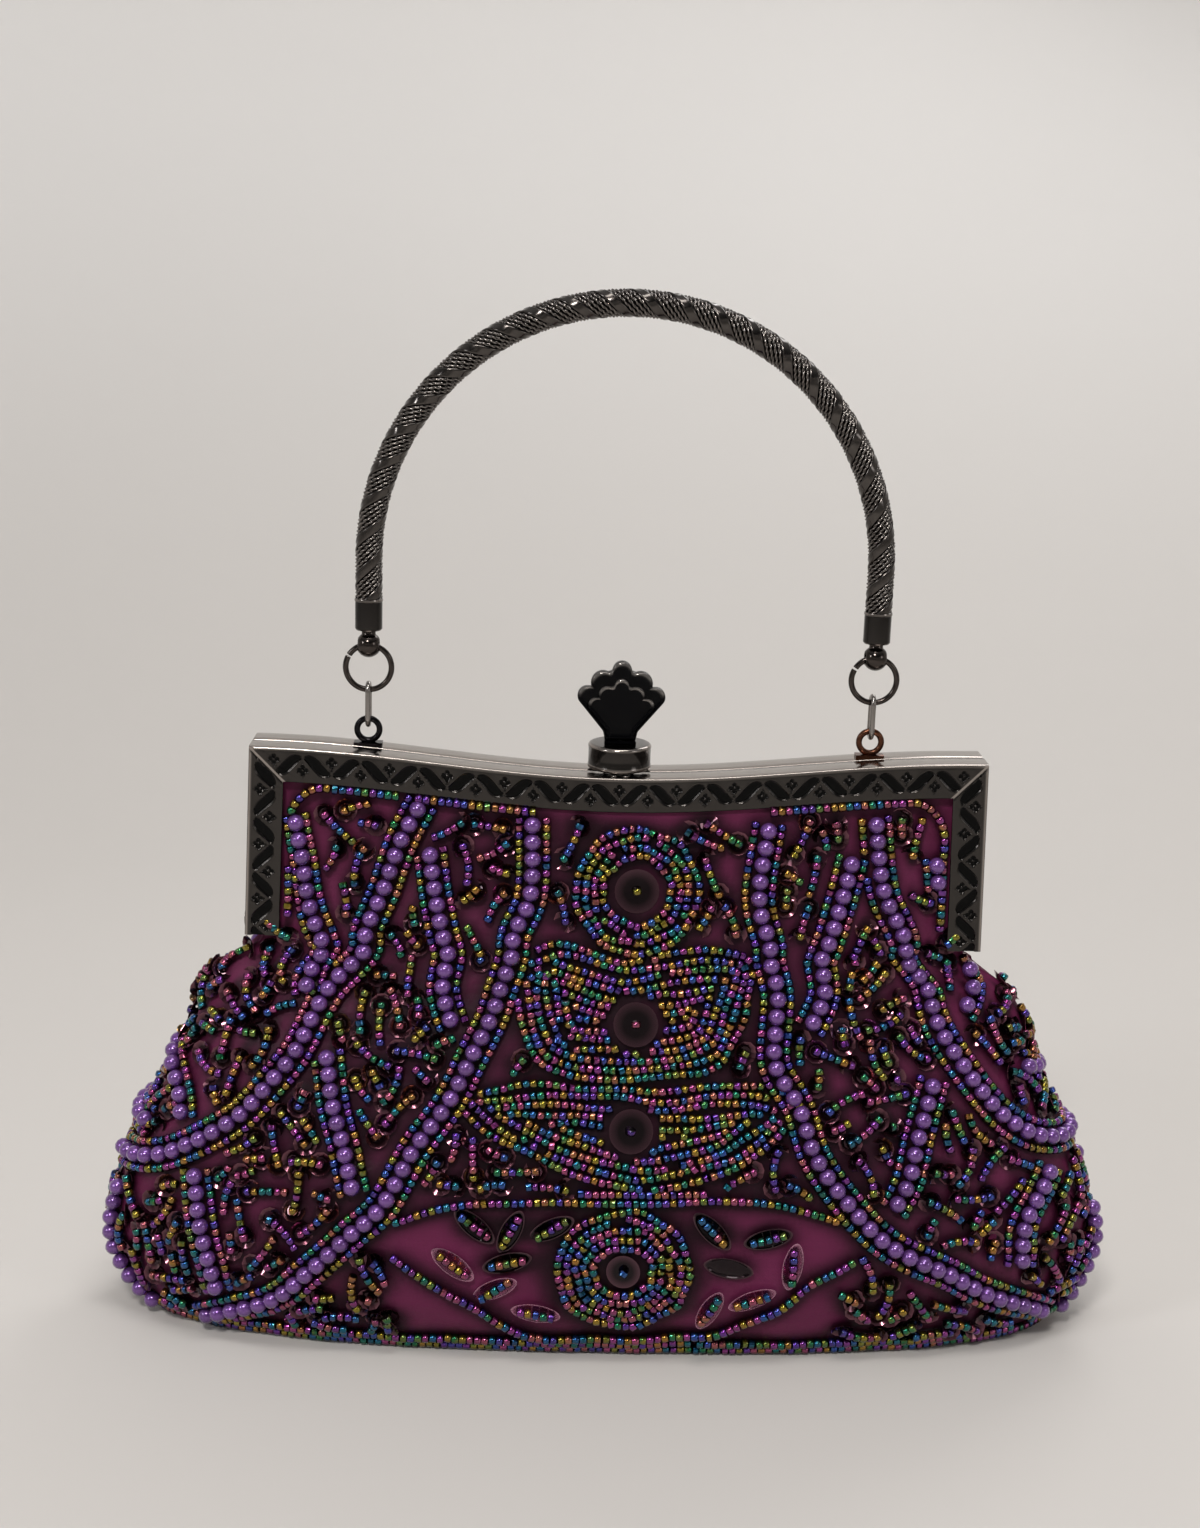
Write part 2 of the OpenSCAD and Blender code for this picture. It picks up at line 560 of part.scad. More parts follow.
// Pearl strings that stand proud of the cloth, from left to right as the front shows them. Each point
// has a height as a share of frame_top, a place across as a share of the half width there, and how much
// of string_rise it has. The back carries the same strings, turned half round.
strings = [
  [[0, -0.91, 0], [0.2, -0.91, 0], [0.33, -0.95, 0], [0.48, -0.89, 0], [0.59, -0.79, 0],
    [0.65, -0.81, 1], [0.73, -0.85, 1], [0.87, -0.89, 1], [0.91, -0.9, 0], [1, -0.91, 0]],
  [[0, -0.81, 0], [0.04, -0.79, 0], [0.09, -0.77, 1], [0.15, -0.78, 1], [0.25, -0.82, 1],
    [0.29, -0.84, 0.7], [0.33, -0.85, 0.9], [0.39, -0.8, 1], [0.46, -0.75, 1], [0.53, -0.72, 1],
    [0.63, -0.69, 1], [0.69, -0.69, 1], [0.77, -0.65, 1], [0.87, -0.58, 1], [0.91, -0.55, 0],
    [1, -0.54, 0]],
  [[0, -0.74, 0], [0.15, -0.68, 0], [0.25, -0.58, 0], [0.31, -0.53, 1], [0.36, -0.56, 1],
    [0.45, -0.61, 1], [0.51, -0.53, 0], [0.57, -0.41, 0.9], [0.65, -0.45, 1], [0.75, -0.46, 1],
    [0.83, -0.46, 1], [0.88, -0.47, 0], [1, -0.47, 0]],
  [[0, -0.67, 0], [0.05, -0.68, 0], [0.09, -0.64, 1], [0.15, -0.58, 1], [0.22, -0.5, 1],
    [0.27, -0.45, 1], [0.36, -0.41, 1], [0.43, -0.36, 1], [0.5, -0.33, 1], [0.59, -0.29, 1],
    [0.69, -0.28, 1], [0.77, -0.24, 1], [0.87, -0.24, 1], [0.91, -0.24, 0], [1, -0.24, 0]],
  [[0, 0.78, 0], [0.05, 0.76, 0], [0.11, 0.7, 0.9], [0.17, 0.64, 1], [0.22, 0.55, 1], [0.29, 0.48, 1],
    [0.37, 0.43, 1], [0.44, 0.42, 1], [0.51, 0.38, 1], [0.58, 0.39, 1], [0.67, 0.43, 1], [0.77, 0.4, 1],
    [0.87, 0.42, 1], [0.91, 0.42, 0], [1, 0.42, 0]],
  [[0, 0.84, 0], [0.17, 0.75, 0], [0.24, 0.68, 0], [0.29, 0.61, 0.9], [0.33, 0.63, 1], [0.39, 0.66, 1],
    [0.47, 0.72, 1], [0.53, 0.59, 0], [0.57, 0.5, 0.9], [0.65, 0.57, 1], [0.75, 0.59, 1],
    [0.83, 0.59, 1], [0.88, 0.58, 0], [1, 0.57, 0]],
  [[0, 0.88, 0], [0.11, 0.81, 0], [0.17, 0.82, 1], [0.26, 0.85, 1], [0.35, 0.89, 0.9], [0.41, 0.87, 1],
    [0.49, 0.82, 1], [0.57, 0.78, 1], [0.68, 0.82, 1], [0.78, 0.75, 1], [0.87, 0.73, 1], [0.91, 0.72, 0],
    [1, 0.72, 0]]
];
// How many steps the cloth has before, between and after the strings
string_gaps = [5, 2, 2, 2, 6, 2, 2, 5];
function string_at(k, z, n) = lookup(z/frame_top, [for (p = strings[k]) [p[0], p[n]]]);
function string_x(k, z) = k < 0 ? -1 : k < len(strings) ? string_at(k, z, 1) : 1;
function string_foot(k, z, s) =
  s*min(string_w/2/smooth(half_widths, z), 0.4*abs(string_x(k + s, z) - string_x(k, z)));
function column_u(share) = sign(share)*asin(pow(min(1, abs(share)), 1.25))/90;

// Columns of the cloth's outer face at height z: each has a u and how much it is raised
function string_columns(z) = [for (k = [0:len(strings)]) let (
  n = string_gaps[k],
  low = k == 0 ? -1 : column_u(string_x(k - 1, z) + string_foot(k - 1, z, 1)),
  high = k == len(strings) ? 1 : column_u(string_x(k, z) + string_foot(k, z, -1)))
  each concat([for (i = [0:n - (k == len(strings) ? 0 : 1)]) [low + (high - low)*i/n, 0]],
    k == len(strings) ? [] : [[high, 0], [column_u(string_x(k, z)), string_at(k, z, 2)]])];
function columns(side, z, d) = d > 0 ? [for (i = [0:2*side_steps]) [i/side_steps - 1, 0]] :
  let (c = string_columns(z)) side < 0 ? c : [for (i = [len(c) - 1:-1:0]) [-c[i][0], c[i][1]]];
// Level step that raises the cloth by one millimetre, square to its slope
function outward(side, u, z) =
  let (a = cloth(side, u + 0.01, z, 0) - cloth(side, u - 0.01, z, 0),
    b = cloth(side, u, min(z + 1, frame_top), 0) - cloth(side, u, max(z - 1, 0), 0),
    n = cross(a, b), level = [n[0], n[1], 0])
  -side*norm(n)*level/(level*level);
function beaded(side, column, z, d) =
  cloth(side, column[0], z, d) + (column[1] > 0 ? string_rise*column[1]*outward(side, column[0], z) : [0, 0, 0]);

// Sheet between two depths d0 and d1 below the cloth's face, from height low to a top that may follow the frame
function panel_z(u, v, low, drop) = low + v*(top_z(arm_inner_x*sin(90*u)) - drop - low);
module panel(side, low, high, drop, rows, d0, d1) {
  n = 2*side_steps;
  function row_z(u, v) = drop > 0 ? panel_z(u, v, low, drop) : low + (high - low)*v;
  pts = [for (d = [d0, d1], j = [0:rows], c = columns(side, row_z(0.5, j/rows), d))
    beaded(side, c, row_z(c[0], j/rows), d)];
  layer = (rows + 1)*(n + 1);
  function at(d, j, i) = d*layer + j*(n + 1) + i;
  faces = concat(
    [for (j = [0:rows - 1], i = [0:n - 1]) each quad(at(0, j, i), at(0, j, i + 1), at(0, j + 1, i + 1), at(0, j + 1, i))],
    [for (j = [0:rows - 1], i = [0:n - 1]) each quad(at(1, j, i), at(1, j + 1, i), at(1, j + 1, i + 1), at(1, j, i + 1))],
    [for (i = [0:n - 1]) each quad(at(0, 0, i), at(1, 0, i), at(1, 0, i + 1), at(0, 0, i + 1))],
    [for (i = [0:n - 1]) each quad(at(0, rows, i), at(0, rows, i + 1), at(1, rows, i + 1), at(1, rows, i))],
    [for (j = [0:rows - 1]) each quad(at(0, j, 0), at(0, j + 1, 0), at(1, j + 1, 0), at(1, j, 0))],
    [for (j = [0:rows - 1]) each quad(at(0, j, n), at(1, j, n), at(1, j + 1, n), at(0, j + 1, n))]);
  polyhedron(pts, side < 0 ? [for (f = faces) [f[2], f[1], f[0]]] : faces, convexity = 8);
}
function quad(a, b, c, d) = [[a, b, c], [a, c, d]];

// Closed cup between depths d0 and d1, with its floor between heights z0 and z1
pouch_heights = [0, 0.03, 0.09, 0.16, 0.23, 0.31, 0.4, 0.5, 0.6, 0.7, 0.8, 0.9, 1];
function around(z, d) = let (n = 2*side_steps, front = columns(-1, z, d), rear = columns(1, z, d))
  concat([for (i = [0:n - 1]) beaded(-1, front[i], z, d)], [for (i = [n:-1:1]) beaded(1, rear[i], z, d)]);
module cup(z0, z1, rim, d0, d1) {
  n = 4*side_steps;
  rows = len(pouch_heights) - 1;
  pts = concat([for (h = pouch_heights) each around(z0 + h*(rim - z0), d0)],
    [for (h = pouch_heights) each around(z1 + h*(rim - z1), d1)], [[0, 0, z0], [0, 0, z1]]);
  layer = (rows + 1)*n;
  function at(d, j, i) = d*layer + j*n + i%n;
  polyhedron(pts, concat(
    [for (j = [0:rows - 1], i = [0:n - 1]) each quad(at(0, j, i), at(0, j + 1, i), at(0, j + 1, i + 1), at(0, j, i + 1))],
    [for (j = [0:rows - 1], i = [0:n - 1]) each quad(at(1, j, i), at(1, j, i + 1), at(1, j + 1, i + 1), at(1, j + 1, i))],
    [for (i = [0:n - 1]) each quad(at(0, rows, i), at(1, rows, i), at(1, rows, i + 1), at(0, rows, i + 1))],
    [for (i = [0:n - 1]) [at(0, 0, i), at(0, 0, i + 1), 2*layer]],
    [for (i = [0:n - 1]) [at(1, 0, i + 1), at(1, 0, i), 2*layer + 1]]), convexity = 8);
}

panel_low = hinge_z - 0.5;
panel_drop = 2.2;
lining_d0 = cloth_t + lining_gap;
lining_d1 = lining_d0 + lining_t;
board_z = cloth_t + 0.2;
lining_floor = board_z + board_t + 0.3;
fold_gap = 0.3;
module pouch() { color(plum) cup(0, cloth_t, pouch_top, 0, cloth_t); }
module pouch_lining() { color(plum_dark) cup(lining_floor, lining_floor + lining_t, pouch_top - 0.5, lining_d0, lining_d1); }
module rear_panel() { color(plum) panel(1, pouch_top, 0, panel_drop, 9, 0, cloth_t); }
module rear_lining() { color(plum_dark) panel(1, pouch_top, 0, panel_drop + 0.5, 9, lining_d0, lining_d1); }
module front_panel() { color(plum) panel(-1, panel_low, 0, panel_drop, 7, 0, cloth_t); }
module front_lining() { color(plum_dark) panel(-1, panel_low, 0, panel_drop + 0.5, 7, lining_d0, lining_d1); }
// Cloth that folds as the front half swings out
module front_fold() { color(plum) panel(-1, pouch_top, panel_low - fold_gap, 0, 3, 0, cloth_t); }
// Stiff board that keeps the base flat
module base_board() {
  color(card) translate([0, 0, board_z]) linear_extrude(board_t)
    polygon([for (p = around(0, lining_d0 + 1)) [p[0], p[1]]]);
}

rear_frame();
front_frame();
hinge_pin_left();
hinge_pin_right();
lug_left();
lug_right();
link_left();
link_right();
ring_left();
ring_right();
end_ball_left();
end_ball_right();
ferrule_left();
ferrule_right();
handle_rod();
handle_sleeve();
handle_ribbons();
clasp_bracket();
clasp_pin();
clasp_spring();
clasp_drum();
finial_screw();
shell_finial();
catch_tongue();
catch_rivets();
pouch();
rear_panel();
front_panel();
front_fold();
pouch_lining();
rear_lining();
front_lining();
base_board();
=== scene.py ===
"""Beaded evening purse: the looks of every piece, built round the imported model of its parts.

Shapes are worked out in millimetres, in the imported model's own frame: +Z up, front towards -Y,
origin in the middle of the base. build() turns them into metres.
"""

import json
import math

import bmesh
import bpy
import numpy as np
from mathutils import Matrix, Vector


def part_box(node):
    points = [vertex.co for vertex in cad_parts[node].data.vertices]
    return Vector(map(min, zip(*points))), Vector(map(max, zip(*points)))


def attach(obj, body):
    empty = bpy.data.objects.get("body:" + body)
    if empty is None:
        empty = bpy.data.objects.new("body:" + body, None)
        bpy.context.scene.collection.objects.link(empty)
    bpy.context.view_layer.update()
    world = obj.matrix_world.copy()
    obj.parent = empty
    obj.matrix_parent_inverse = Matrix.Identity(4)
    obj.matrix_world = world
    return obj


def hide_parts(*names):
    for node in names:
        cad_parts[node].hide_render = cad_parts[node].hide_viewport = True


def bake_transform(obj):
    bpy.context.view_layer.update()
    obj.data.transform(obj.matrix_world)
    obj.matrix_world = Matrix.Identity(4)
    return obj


bl_info = {
    "name": "Beaded evening purse",
    "version": (1, 0, 0),
    "blender": (4, 5, 0),
    "location": "3D View > Sidebar > Purse",
    "description": "Builds the metalwork, cloth, beadwork and studio of an evening purse",
    "category": "Add Mesh",
}

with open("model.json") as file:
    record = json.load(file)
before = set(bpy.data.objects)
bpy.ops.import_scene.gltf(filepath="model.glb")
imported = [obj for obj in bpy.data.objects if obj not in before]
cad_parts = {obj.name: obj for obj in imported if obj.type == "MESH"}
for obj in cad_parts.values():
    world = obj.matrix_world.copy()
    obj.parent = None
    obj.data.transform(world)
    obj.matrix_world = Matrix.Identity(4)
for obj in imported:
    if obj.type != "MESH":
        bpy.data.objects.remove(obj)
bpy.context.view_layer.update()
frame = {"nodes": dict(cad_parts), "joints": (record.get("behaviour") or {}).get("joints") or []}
MM = 0.001

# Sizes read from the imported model, in millimetres
JOINTS = {j["name"]: j for j in frame["joints"]}
HINGE_Z = JOINTS["front_hinge"]["pos_m"][2] / MM
FRAME_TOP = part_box("front_frame")[1].z / MM
HINGE_X = 91.5
HALF_W = 90.0
FLARE = HINGE_X - HALF_W
FRAME_H = FRAME_TOP - HINGE_Z
FACE_Y = -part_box("front_frame")[0].y / MM
BAG_HALF_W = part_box("pouch")[1].x / MM
BAG_HALF_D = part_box("pouch")[1].y / MM
CHAIN_X = JOINTS["right_link_swing"]["pos_m"][0] / MM
CHAIN_Y = JOINTS["right_link_swing"]["pos_m"][1] / MM
POUCH_TOP = 90.0
# How far the frame's top edge dips in the middle
DIP = 5.8
LEDGE_Z = FRAME_TOP - DIP
# Half the gap between the frame's halves, the sheet's thickness and the radius of the hinge ears
GAP_Y = 0.3
METAL_T = 0.9
EAR_R = 3.6


def colour(red, green, blue):
    """Screen colour from 0 to 255 turned to the linear RGBA that shaders take."""
    screen = np.array([red, green, blue]) / 255
    linear = np.where(screen <= 0.04045, screen / 12.92, ((screen + 0.055) / 1.055) ** 2.4)
    return (*linear.tolist(), 1.0)


def tint(name, description, shade):
    """Colour property with that default."""
    return bpy.props.FloatVectorProperty(
        name=name, description=description, default=shade, size=4, subtype="COLOR", min=0, max=1
    )


def length(name, description, millimetres):
    """Length property whose default is given in millimetres."""
    return bpy.props.FloatProperty(
        name=name, description=description, default=millimetres * MM, min=0, unit="LENGTH", subtype="DISTANCE"
    )


class PurseMetal(bpy.types.PropertyGroup):
    """Sizes and colours of the frame, clasp and handle."""

    band_width: length("Band width", "Width of the decorated band on the frame", 8.6)
    pattern_period: length("Pattern period", "Length of one repeat of the leaf pattern", 14)
    relief: length("Relief", "Depth of the pattern's recesses", 0.38)
    plating: tint("Plating", "Polished plating of the frame", colour(160, 152, 146))
    # The plating darkened all over as painted shade, for the rings and end balls
    smoked: tint("Smoked plating", "Dark plating of the rings and end balls", colour(70, 64, 61))
    blackened: tint("Blackened plating", "Plating of the left lug", colour(36, 34, 36))
    browned: tint("Browned plating", "Plating of the right lug", colour(92, 60, 46))
    nickel: tint("Nickel", "Plating of links, rings and pins", colour(142, 137, 133))
    wire: tint("Wire", "Wound wire of the handle", colour(150, 143, 138))
    enamel: tint("Enamel", "Gloss enamel of the shell finial", colour(2, 2, 3))


class PurseCloth(bpy.types.PropertyGroup):
    """Sizes and colours of the bag's cloth."""

    thickness: length("Thickness", "Thickness of the outer cloth", 1.2)
    pucker: length("Pucker", "Height of the cloth's soft puckers", 0.34)
    satin: tint("Satin", "Plum satin", colour(107, 37, 74))
    lining: tint("Lining", "Lining satin", colour(64, 26, 52))


class PurseBeads(bpy.types.PropertyGroup):
    """Sizes and colours of the beadwork."""

    seed_diameter: length("Seed diameter", "Diameter of a seed bead", 2.35)
    seed_pitch: length("Seed pitch", "Distance between seed beads on a string", 1.86)
    pearl_diameter: length("Pearl diameter", "Diameter of a pearl", 4.35)
    pearl_pitch: length("Pearl pitch", "Distance between pearls on a string", 4.2)
    sequin_diameter: length("Sequin diameter", "Diameter of a cup sequin", 6)
    pearl: tint("Pearl", "Purple pearl", colour(112, 70, 142))
    sequin: tint("Sequin", "Dark cup sequin", colour(40, 18, 26))
    seed: bpy.props.IntProperty(name="Seed", description="Seed of the scattered sprigs", default=7)


def props(group):
    """The scene's property group of that name."""
    return getattr(bpy.context.scene, "purse_" + group)


# Mesh helpers


def grid(rows, cols, closed_cols=False, closed_rows=False):
    """Quads between neighbouring points of a grid; a closed side joins its last points to its first."""
    i = np.arange(rows if closed_rows else rows - 1)[:, None]
    j = np.arange(cols if closed_cols else cols - 1)[None, :]
    ahead = (i + 1) % rows
    beside = (j + 1) % cols
    quads = [i * cols + j, i * cols + beside, ahead * cols + beside, ahead * cols + j]
    return np.stack(np.broadcast_arrays(*quads), -1).reshape(-1, 4)


def row_ends(rows, cols):
    """Cap faces over the first and the last column of a grid whose rows are joined into a ring."""
    return [[r * cols for r in range(rows)], [r * cols + cols - 1 for r in range(rows)][::-1]]


def ring_ends(rings, sides):
    """Cap faces over the first and the last of several rings of points."""
    last = (rings - 1) * sides
    return [list(range(sides))[::-1], list(range(last, last + sides))]


def circle(sides):
    """Points of the unit circle."""
    turn = np.linspace(0, 2 * np.pi, sides, endpoint=False)
    return np.stack([np.cos(turn), np.sin(turn)], -1)


def stacked(outline, profile):
    """Rings of points: for each (scale, height) of the profile the flat outline, scaled, at that height."""
    profile = np.array(profile, float)
    flat = profile[:, None, :1] * outline[None]
    height = np.broadcast_to(profile[:, None, 1:], flat.shape[:2] + (1,))
    return np.concatenate([flat, height], -1)


def unit(vectors):
    """The vectors divided by their lengths."""
    return vectors / np.linalg.norm(vectors, axis=-1, keepdims=True)


def add_piece(name, mesh, material, sharp):
    """Object in the scene of that mesh, smooth but for edges sharper than the angle in degrees."""
    mesh.shade_smooth()
    mesh.set_sharp_from_angle(angle=math.radians(sharp))
    mesh.materials.clear()
    mesh.materials.append(material)
    piece = bpy.data.objects.new(name, mesh)
    bpy.context.scene.collection.objects.link(piece)
    return piece


def build(name, points, quads, material, body=None, caps=(), sharp=35.0, **values):
    """Mesh object at the origin from points in millimetres, quads and larger cap faces, with its faces
    turned outwards: the volume under the quads, a sum of triple products, has to be positive."""
    points = np.asarray(points, float).reshape(-1, 3)
    quads = np.asarray(quads, int)
    corners = points[quads]
    volume = np.einsum("ij,ij->", corners[:, 0], np.cross(corners[:, 1], corners[:, 2]))
    volume += np.einsum("ij,ij->", corners[:, 0], np.cross(corners[:, 2], corners[:, 3]))
    faces = quads.tolist() + [list(c) for c in caps]
    if volume < 0:
        faces = [f[::-1] for f in faces]
    mesh = bpy.data.meshes.new(name)
    mesh.from_pydata((points * MM).tolist(), [], faces)
    for key, amounts in values.items():
        attribute = mesh.attributes.new(key, "FLOAT", "POINT")
        attribute.data.foreach_set("value", np.asarray(amounts, np.float32).ravel())
    piece = add_piece(name, mesh, material, sharp)
    if body:
        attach(piece, body)
    return piece


def blend_at_hinge(piece):
    """Bakes the piece's place into its mesh; it is attached to neither half."""
    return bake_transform(piece)


def turned_metal(name, rows, sides, place, body, sharp=35.0, reshape=None):
    """Plated piece turned about the vertical through place from rows of (radius, height, how much painted
    shade), with flat ends. reshape may change its points before they are placed."""
    rows = np.array(rows, float)
    points = stacked(circle(sides), rows[:, :2])
    if reshape:
        points = reshape(points)
    quads = grid(len(rows), sides, closed_cols=True)
    return build(
        name, points + np.array(place), quads, finish("Dark plating"), body, caps=ring_ends(len(rows), sides),
        sharp=sharp, recess=np.repeat(rows[:, 2], sides),
    )


def dress(node, material):
    """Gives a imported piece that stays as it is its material."""
    mesh = frame["nodes"][node].data
    mesh.materials.clear()
    mesh.materials.append(finish(material))


def polished(node, name, material, body, bevel):
    """A merged, smooth-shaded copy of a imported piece, with its edges bevelled, that stands for it."""
    mesh = frame["nodes"][node].data.copy()
    mesh.name = name
    work = bmesh.new()
    work.from_mesh(mesh)
    bmesh.ops.remove_doubles(work, verts=work.verts, dist=2e-6)
    bmesh.ops.dissolve_limit(work, angle_limit=math.radians(0.5), verts=work.verts, edges=work.edges)
    work.to_mesh(mesh)
    work.free()
    piece = add_piece(name, mesh, material, 35.0)
    if bevel:
        edge = piece.modifiers.new("Edges", "BEVEL")
        edge.width = bevel * MM
        edge.segments = 2
        edge.limit_method = "ANGLE"
        edge.angle_limit = math.radians(40)
    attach(piece, body)
    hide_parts(node)
    return piece


# Materials


def grey(value):
    """Grey of that linear level."""
    return (value, value, value, 1.0)


def toned(shade, factor):
    """The colour times factor, with no channel over 1."""
    return tuple(min(1, factor * c) for c in shade[:3]) + (1,)


class Finish:
    """A material's nodes: each call adds one node, with its inputs given by name as values or sockets."""

    def __init__(self, name, **surface):
        self.material = bpy.data.materials.get(name) or bpy.data.materials.new(name)
        self.material.use_nodes = True
        self.nodes = self.material.node_tree.nodes
        self.links = self.material.node_tree.links
        self.shader = self.nodes["Principled BSDF"]
        self.set(self.shader, **surface)

    def set(self, node, **inputs):
        """Sets or links inputs: i3 is the socket of that number, any other key is a socket's name."""
        for key, value in inputs.items():
            socket = node.inputs[int(key[1:]) if key[1:].isdigit() else key.replace("_", " ")]
            if isinstance(value, bpy.types.NodeSocket):
                self.links.new(value, socket)
            else:
                socket.default_value = value
        return node

    def add(self, kind, output=0, options=None, **inputs):
        """Adds a node of that kind and returns its output of that number."""
        node = self.nodes.new("ShaderNode" + kind)
        for key, value in (options or {}).items():
            setattr(node, key, value)
        self.set(node, **inputs)
        return node.outputs[output]

    def place(self):
        """Object coordinates."""
        return self.add("TexCoord", output=3)

    def attribute(self, name):
        """The mesh attribute of that name, as a number."""
        return self.add("Attribute", output=2, options={"attribute_name": name})

    def noise(self, scale, detail, vector=None):
        """Noise from 0 to 1, on object coordinates if no vector is given."""
        return self.add("TexNoise", Vector=vector or self.place(), Scale=scale, Detail=detail)

    def ramp(self, factor, stops):
        """Colour ramp through stops of (place, colour)."""
        node = self.nodes.new("ShaderNodeValToRGB")
        self.links.new(factor, node.inputs[0])
        band = node.color_ramp
        while len(band.elements) < len(stops):
            band.elements.new(0.5)
        for element, (at, shade) in zip(band.elements, stops):
            element.position = at
            element.color = shade
        return node.outputs[0]

    def span(self, factor, low, high):
        """A factor from 0 to 1 mapped to the span from low to high."""
        return self.add("MapRange", i0=factor, i3=low, i4=high)

    def mix(self, factor, first, second):
        """Colour that goes from first at factor 0 to second at 1."""
        return self.add("Mix", output=2, options={"data_type": "RGBA"}, i0=factor, i6=first, i7=second)

    def bump(self, height, strength, distance, **below):
        """Normal bent by height, over the normal below if Normal is given."""
        return self.add("Bump", Height=height, Strength=strength, Distance=distance, **below)

    def done(self, **surface):
        """Sets the surface's last inputs and returns the material."""
        self.set(self.shader, **surface)
        return self.material


def plating_finish(name, shade, dark, rough):
    """Polished plating: cloudy roughness, fine scratches, and painted shade where the attribute recess asks
    for it: the dark colour stands in for shade and for a dark room mirrored in the metal.
    """
    look = Finish(name, Metallic=1.0)
    cloud = look.noise(55, 4)
    brushed = look.add("Mapping", Vector=look.place(), Scale=(220, 900, 1500), Rotation=(0.3, 0.5, 0.6))
    scratch = look.noise(1.0, 2, brushed)
    worn = look.mix(look.span(cloud, 0.0, 0.35), shade, toned(shade, 0.72))
    # Painted shade: the attribute recess darkens the plating towards the dark colour
    base = look.mix(look.attribute("recess"), worn, dark)
    roughness = look.span(cloud, rough * 0.6, rough * 1.5)
    normal = look.bump(scratch, 0.06, 0.0002)
    return look.done(Base_Color=base, Roughness=roughness, Normal=normal)


def wire_finish(name, shade):
    """Wound wire, with painted shade between the turns and in the twists. The flat ribbons are smooth and
    darkened as painted reflection of a dark room.
    """
    look = Finish(name, Metallic=1.0)
    uneven = look.noise(900, 3)
    base = look.mix(look.span(uneven, 0.1, 0.9), shade, toned(shade, 0.5))
    # The ribbons' darker colour is painted reflection
    base = look.mix(look.attribute("ribbon"), base, toned(shade, 0.26))
    # Painted shade between the turns and in the twists, by the attribute recess
    base = look.mix(look.attribute("recess"), base, grey(0.006))
    roughness = look.span(uneven, 0.08, 0.26)
    return look.done(Base_Color=base, Roughness=roughness, Normal=look.bump(uneven, 0.2, 0.0001))


def enamel_finish(name, shade, bare):
    """Thick gloss enamel with a faint orange peel. In patches on its raised lips bare metal shows, as wear,
    and only where a lip faces up, as painted highlight.
    """
    look = Finish(name, Roughness=0.08, Specular_IOR_Level=0.08)
    base = look.mix(look.noise(120, 2), shade, toned(shade, 2.2))
    patchy = look.span(look.noise(260, 3), 0.0, 1.6)
    # Patches of bare metal on the lips: partly wear, partly painted highlight
    worn = look.add("Math", options={"operation": "MULTIPLY"}, i0=look.attribute("wear"), i1=patchy)
    peel = look.bump(look.noise(420, 2), 0.05, 0.0003)
    return look.done(Base_Color=look.mix(worn, base, bare), Metallic=worn, Normal=peel)


def satin_finish(name, shade, weave):
    """Satin: a fine diagonal weave, soft sheen, slow colour drift and small creases, and shade painted beside
    the beads by the attribute shade.
    """
    look = Finish(name, Roughness=0.45, Sheen_Weight=0.02, Sheen_Roughness=0.3, Specular_IOR_Level=0.16)
    look.set(look.shader, Sheen_Tint=toned(shade, 3))
    place = look.place()
    drift = look.noise(38, 4, place)
    slanted = look.add("Mapping", Vector=place, Rotation=(0, 0.75, 0))
    threads = look.add(
        "TexWave", output=1, Vector=slanted, Scale=weave, Distortion=1.2, Detail=1.0, Detail_Scale=2.0
    )
    slub = look.noise(1.0, 3, look.add("Mapping", Vector=place, Scale=(120, 120, 1500)))
    base = look.mix(look.span(drift, 0.15, 0.8), toned(shade, 0.62), toned(shade, 1.3))
    base = look.mix(look.span(slub, 0.0, 0.3), base, toned(shade, 0.5))
    # Painted shade on the satin next to the beads
    base = look.mix(look.attribute("shade"), base, toned(shade, 0.06))
    crease = look.bump(look.noise(130, 5, place), 0.5, 0.0014)
    return look.done(Base_Color=base, Normal=look.bump(threads, 0.28, 0.00012, Normal=crease))


# Rainbow coating: places on the ramp and their colours, which end where they begin
IRIS = [
    (0.00, colour(100, 48, 146)),
    (0.16, colour(150, 58, 128)),
    (0.28, colour(164, 78, 104)),
    (0.40, colour(164, 114, 46)),
    (0.54, colour(142, 130, 34)),
    (0.65, colour(26, 116, 66)),
    (0.77, colour(14, 100, 124)),
    (0.88, colour(46, 76, 158)),
    (1.00, colour(90, 44, 146)),
]


def iris_finish(name):
    """Rainbow-coated glass: each bead has its own place on the ramp, which drifts across the bead, and is
    darkened by the attribute shade: painted shade on its underside and at its ends, and its own random
    darkness."""
    look = Finish(name, Metallic=0.95, Coat_Weight=0.6, Coat_Roughness=0.06)
    drift = look.noise(420, 2)
    own = look.add("Math", i0=look.attribute("hue"), i1=look.span(drift, -0.16, 0.16))
    wrapped = look.add("Math", options={"operation": "FRACT"}, i0=own)
    base = look.ramp(wrapped, IRIS)
    # Painted shade on the underside and ends, with each bead's random darkness
    base = look.mix(look.attribute("shade"), base, grey(0.01))
    return look.done(Base_Color=base, Roughness=look.span(look.noise(700, 2), 0.1, 0.34))


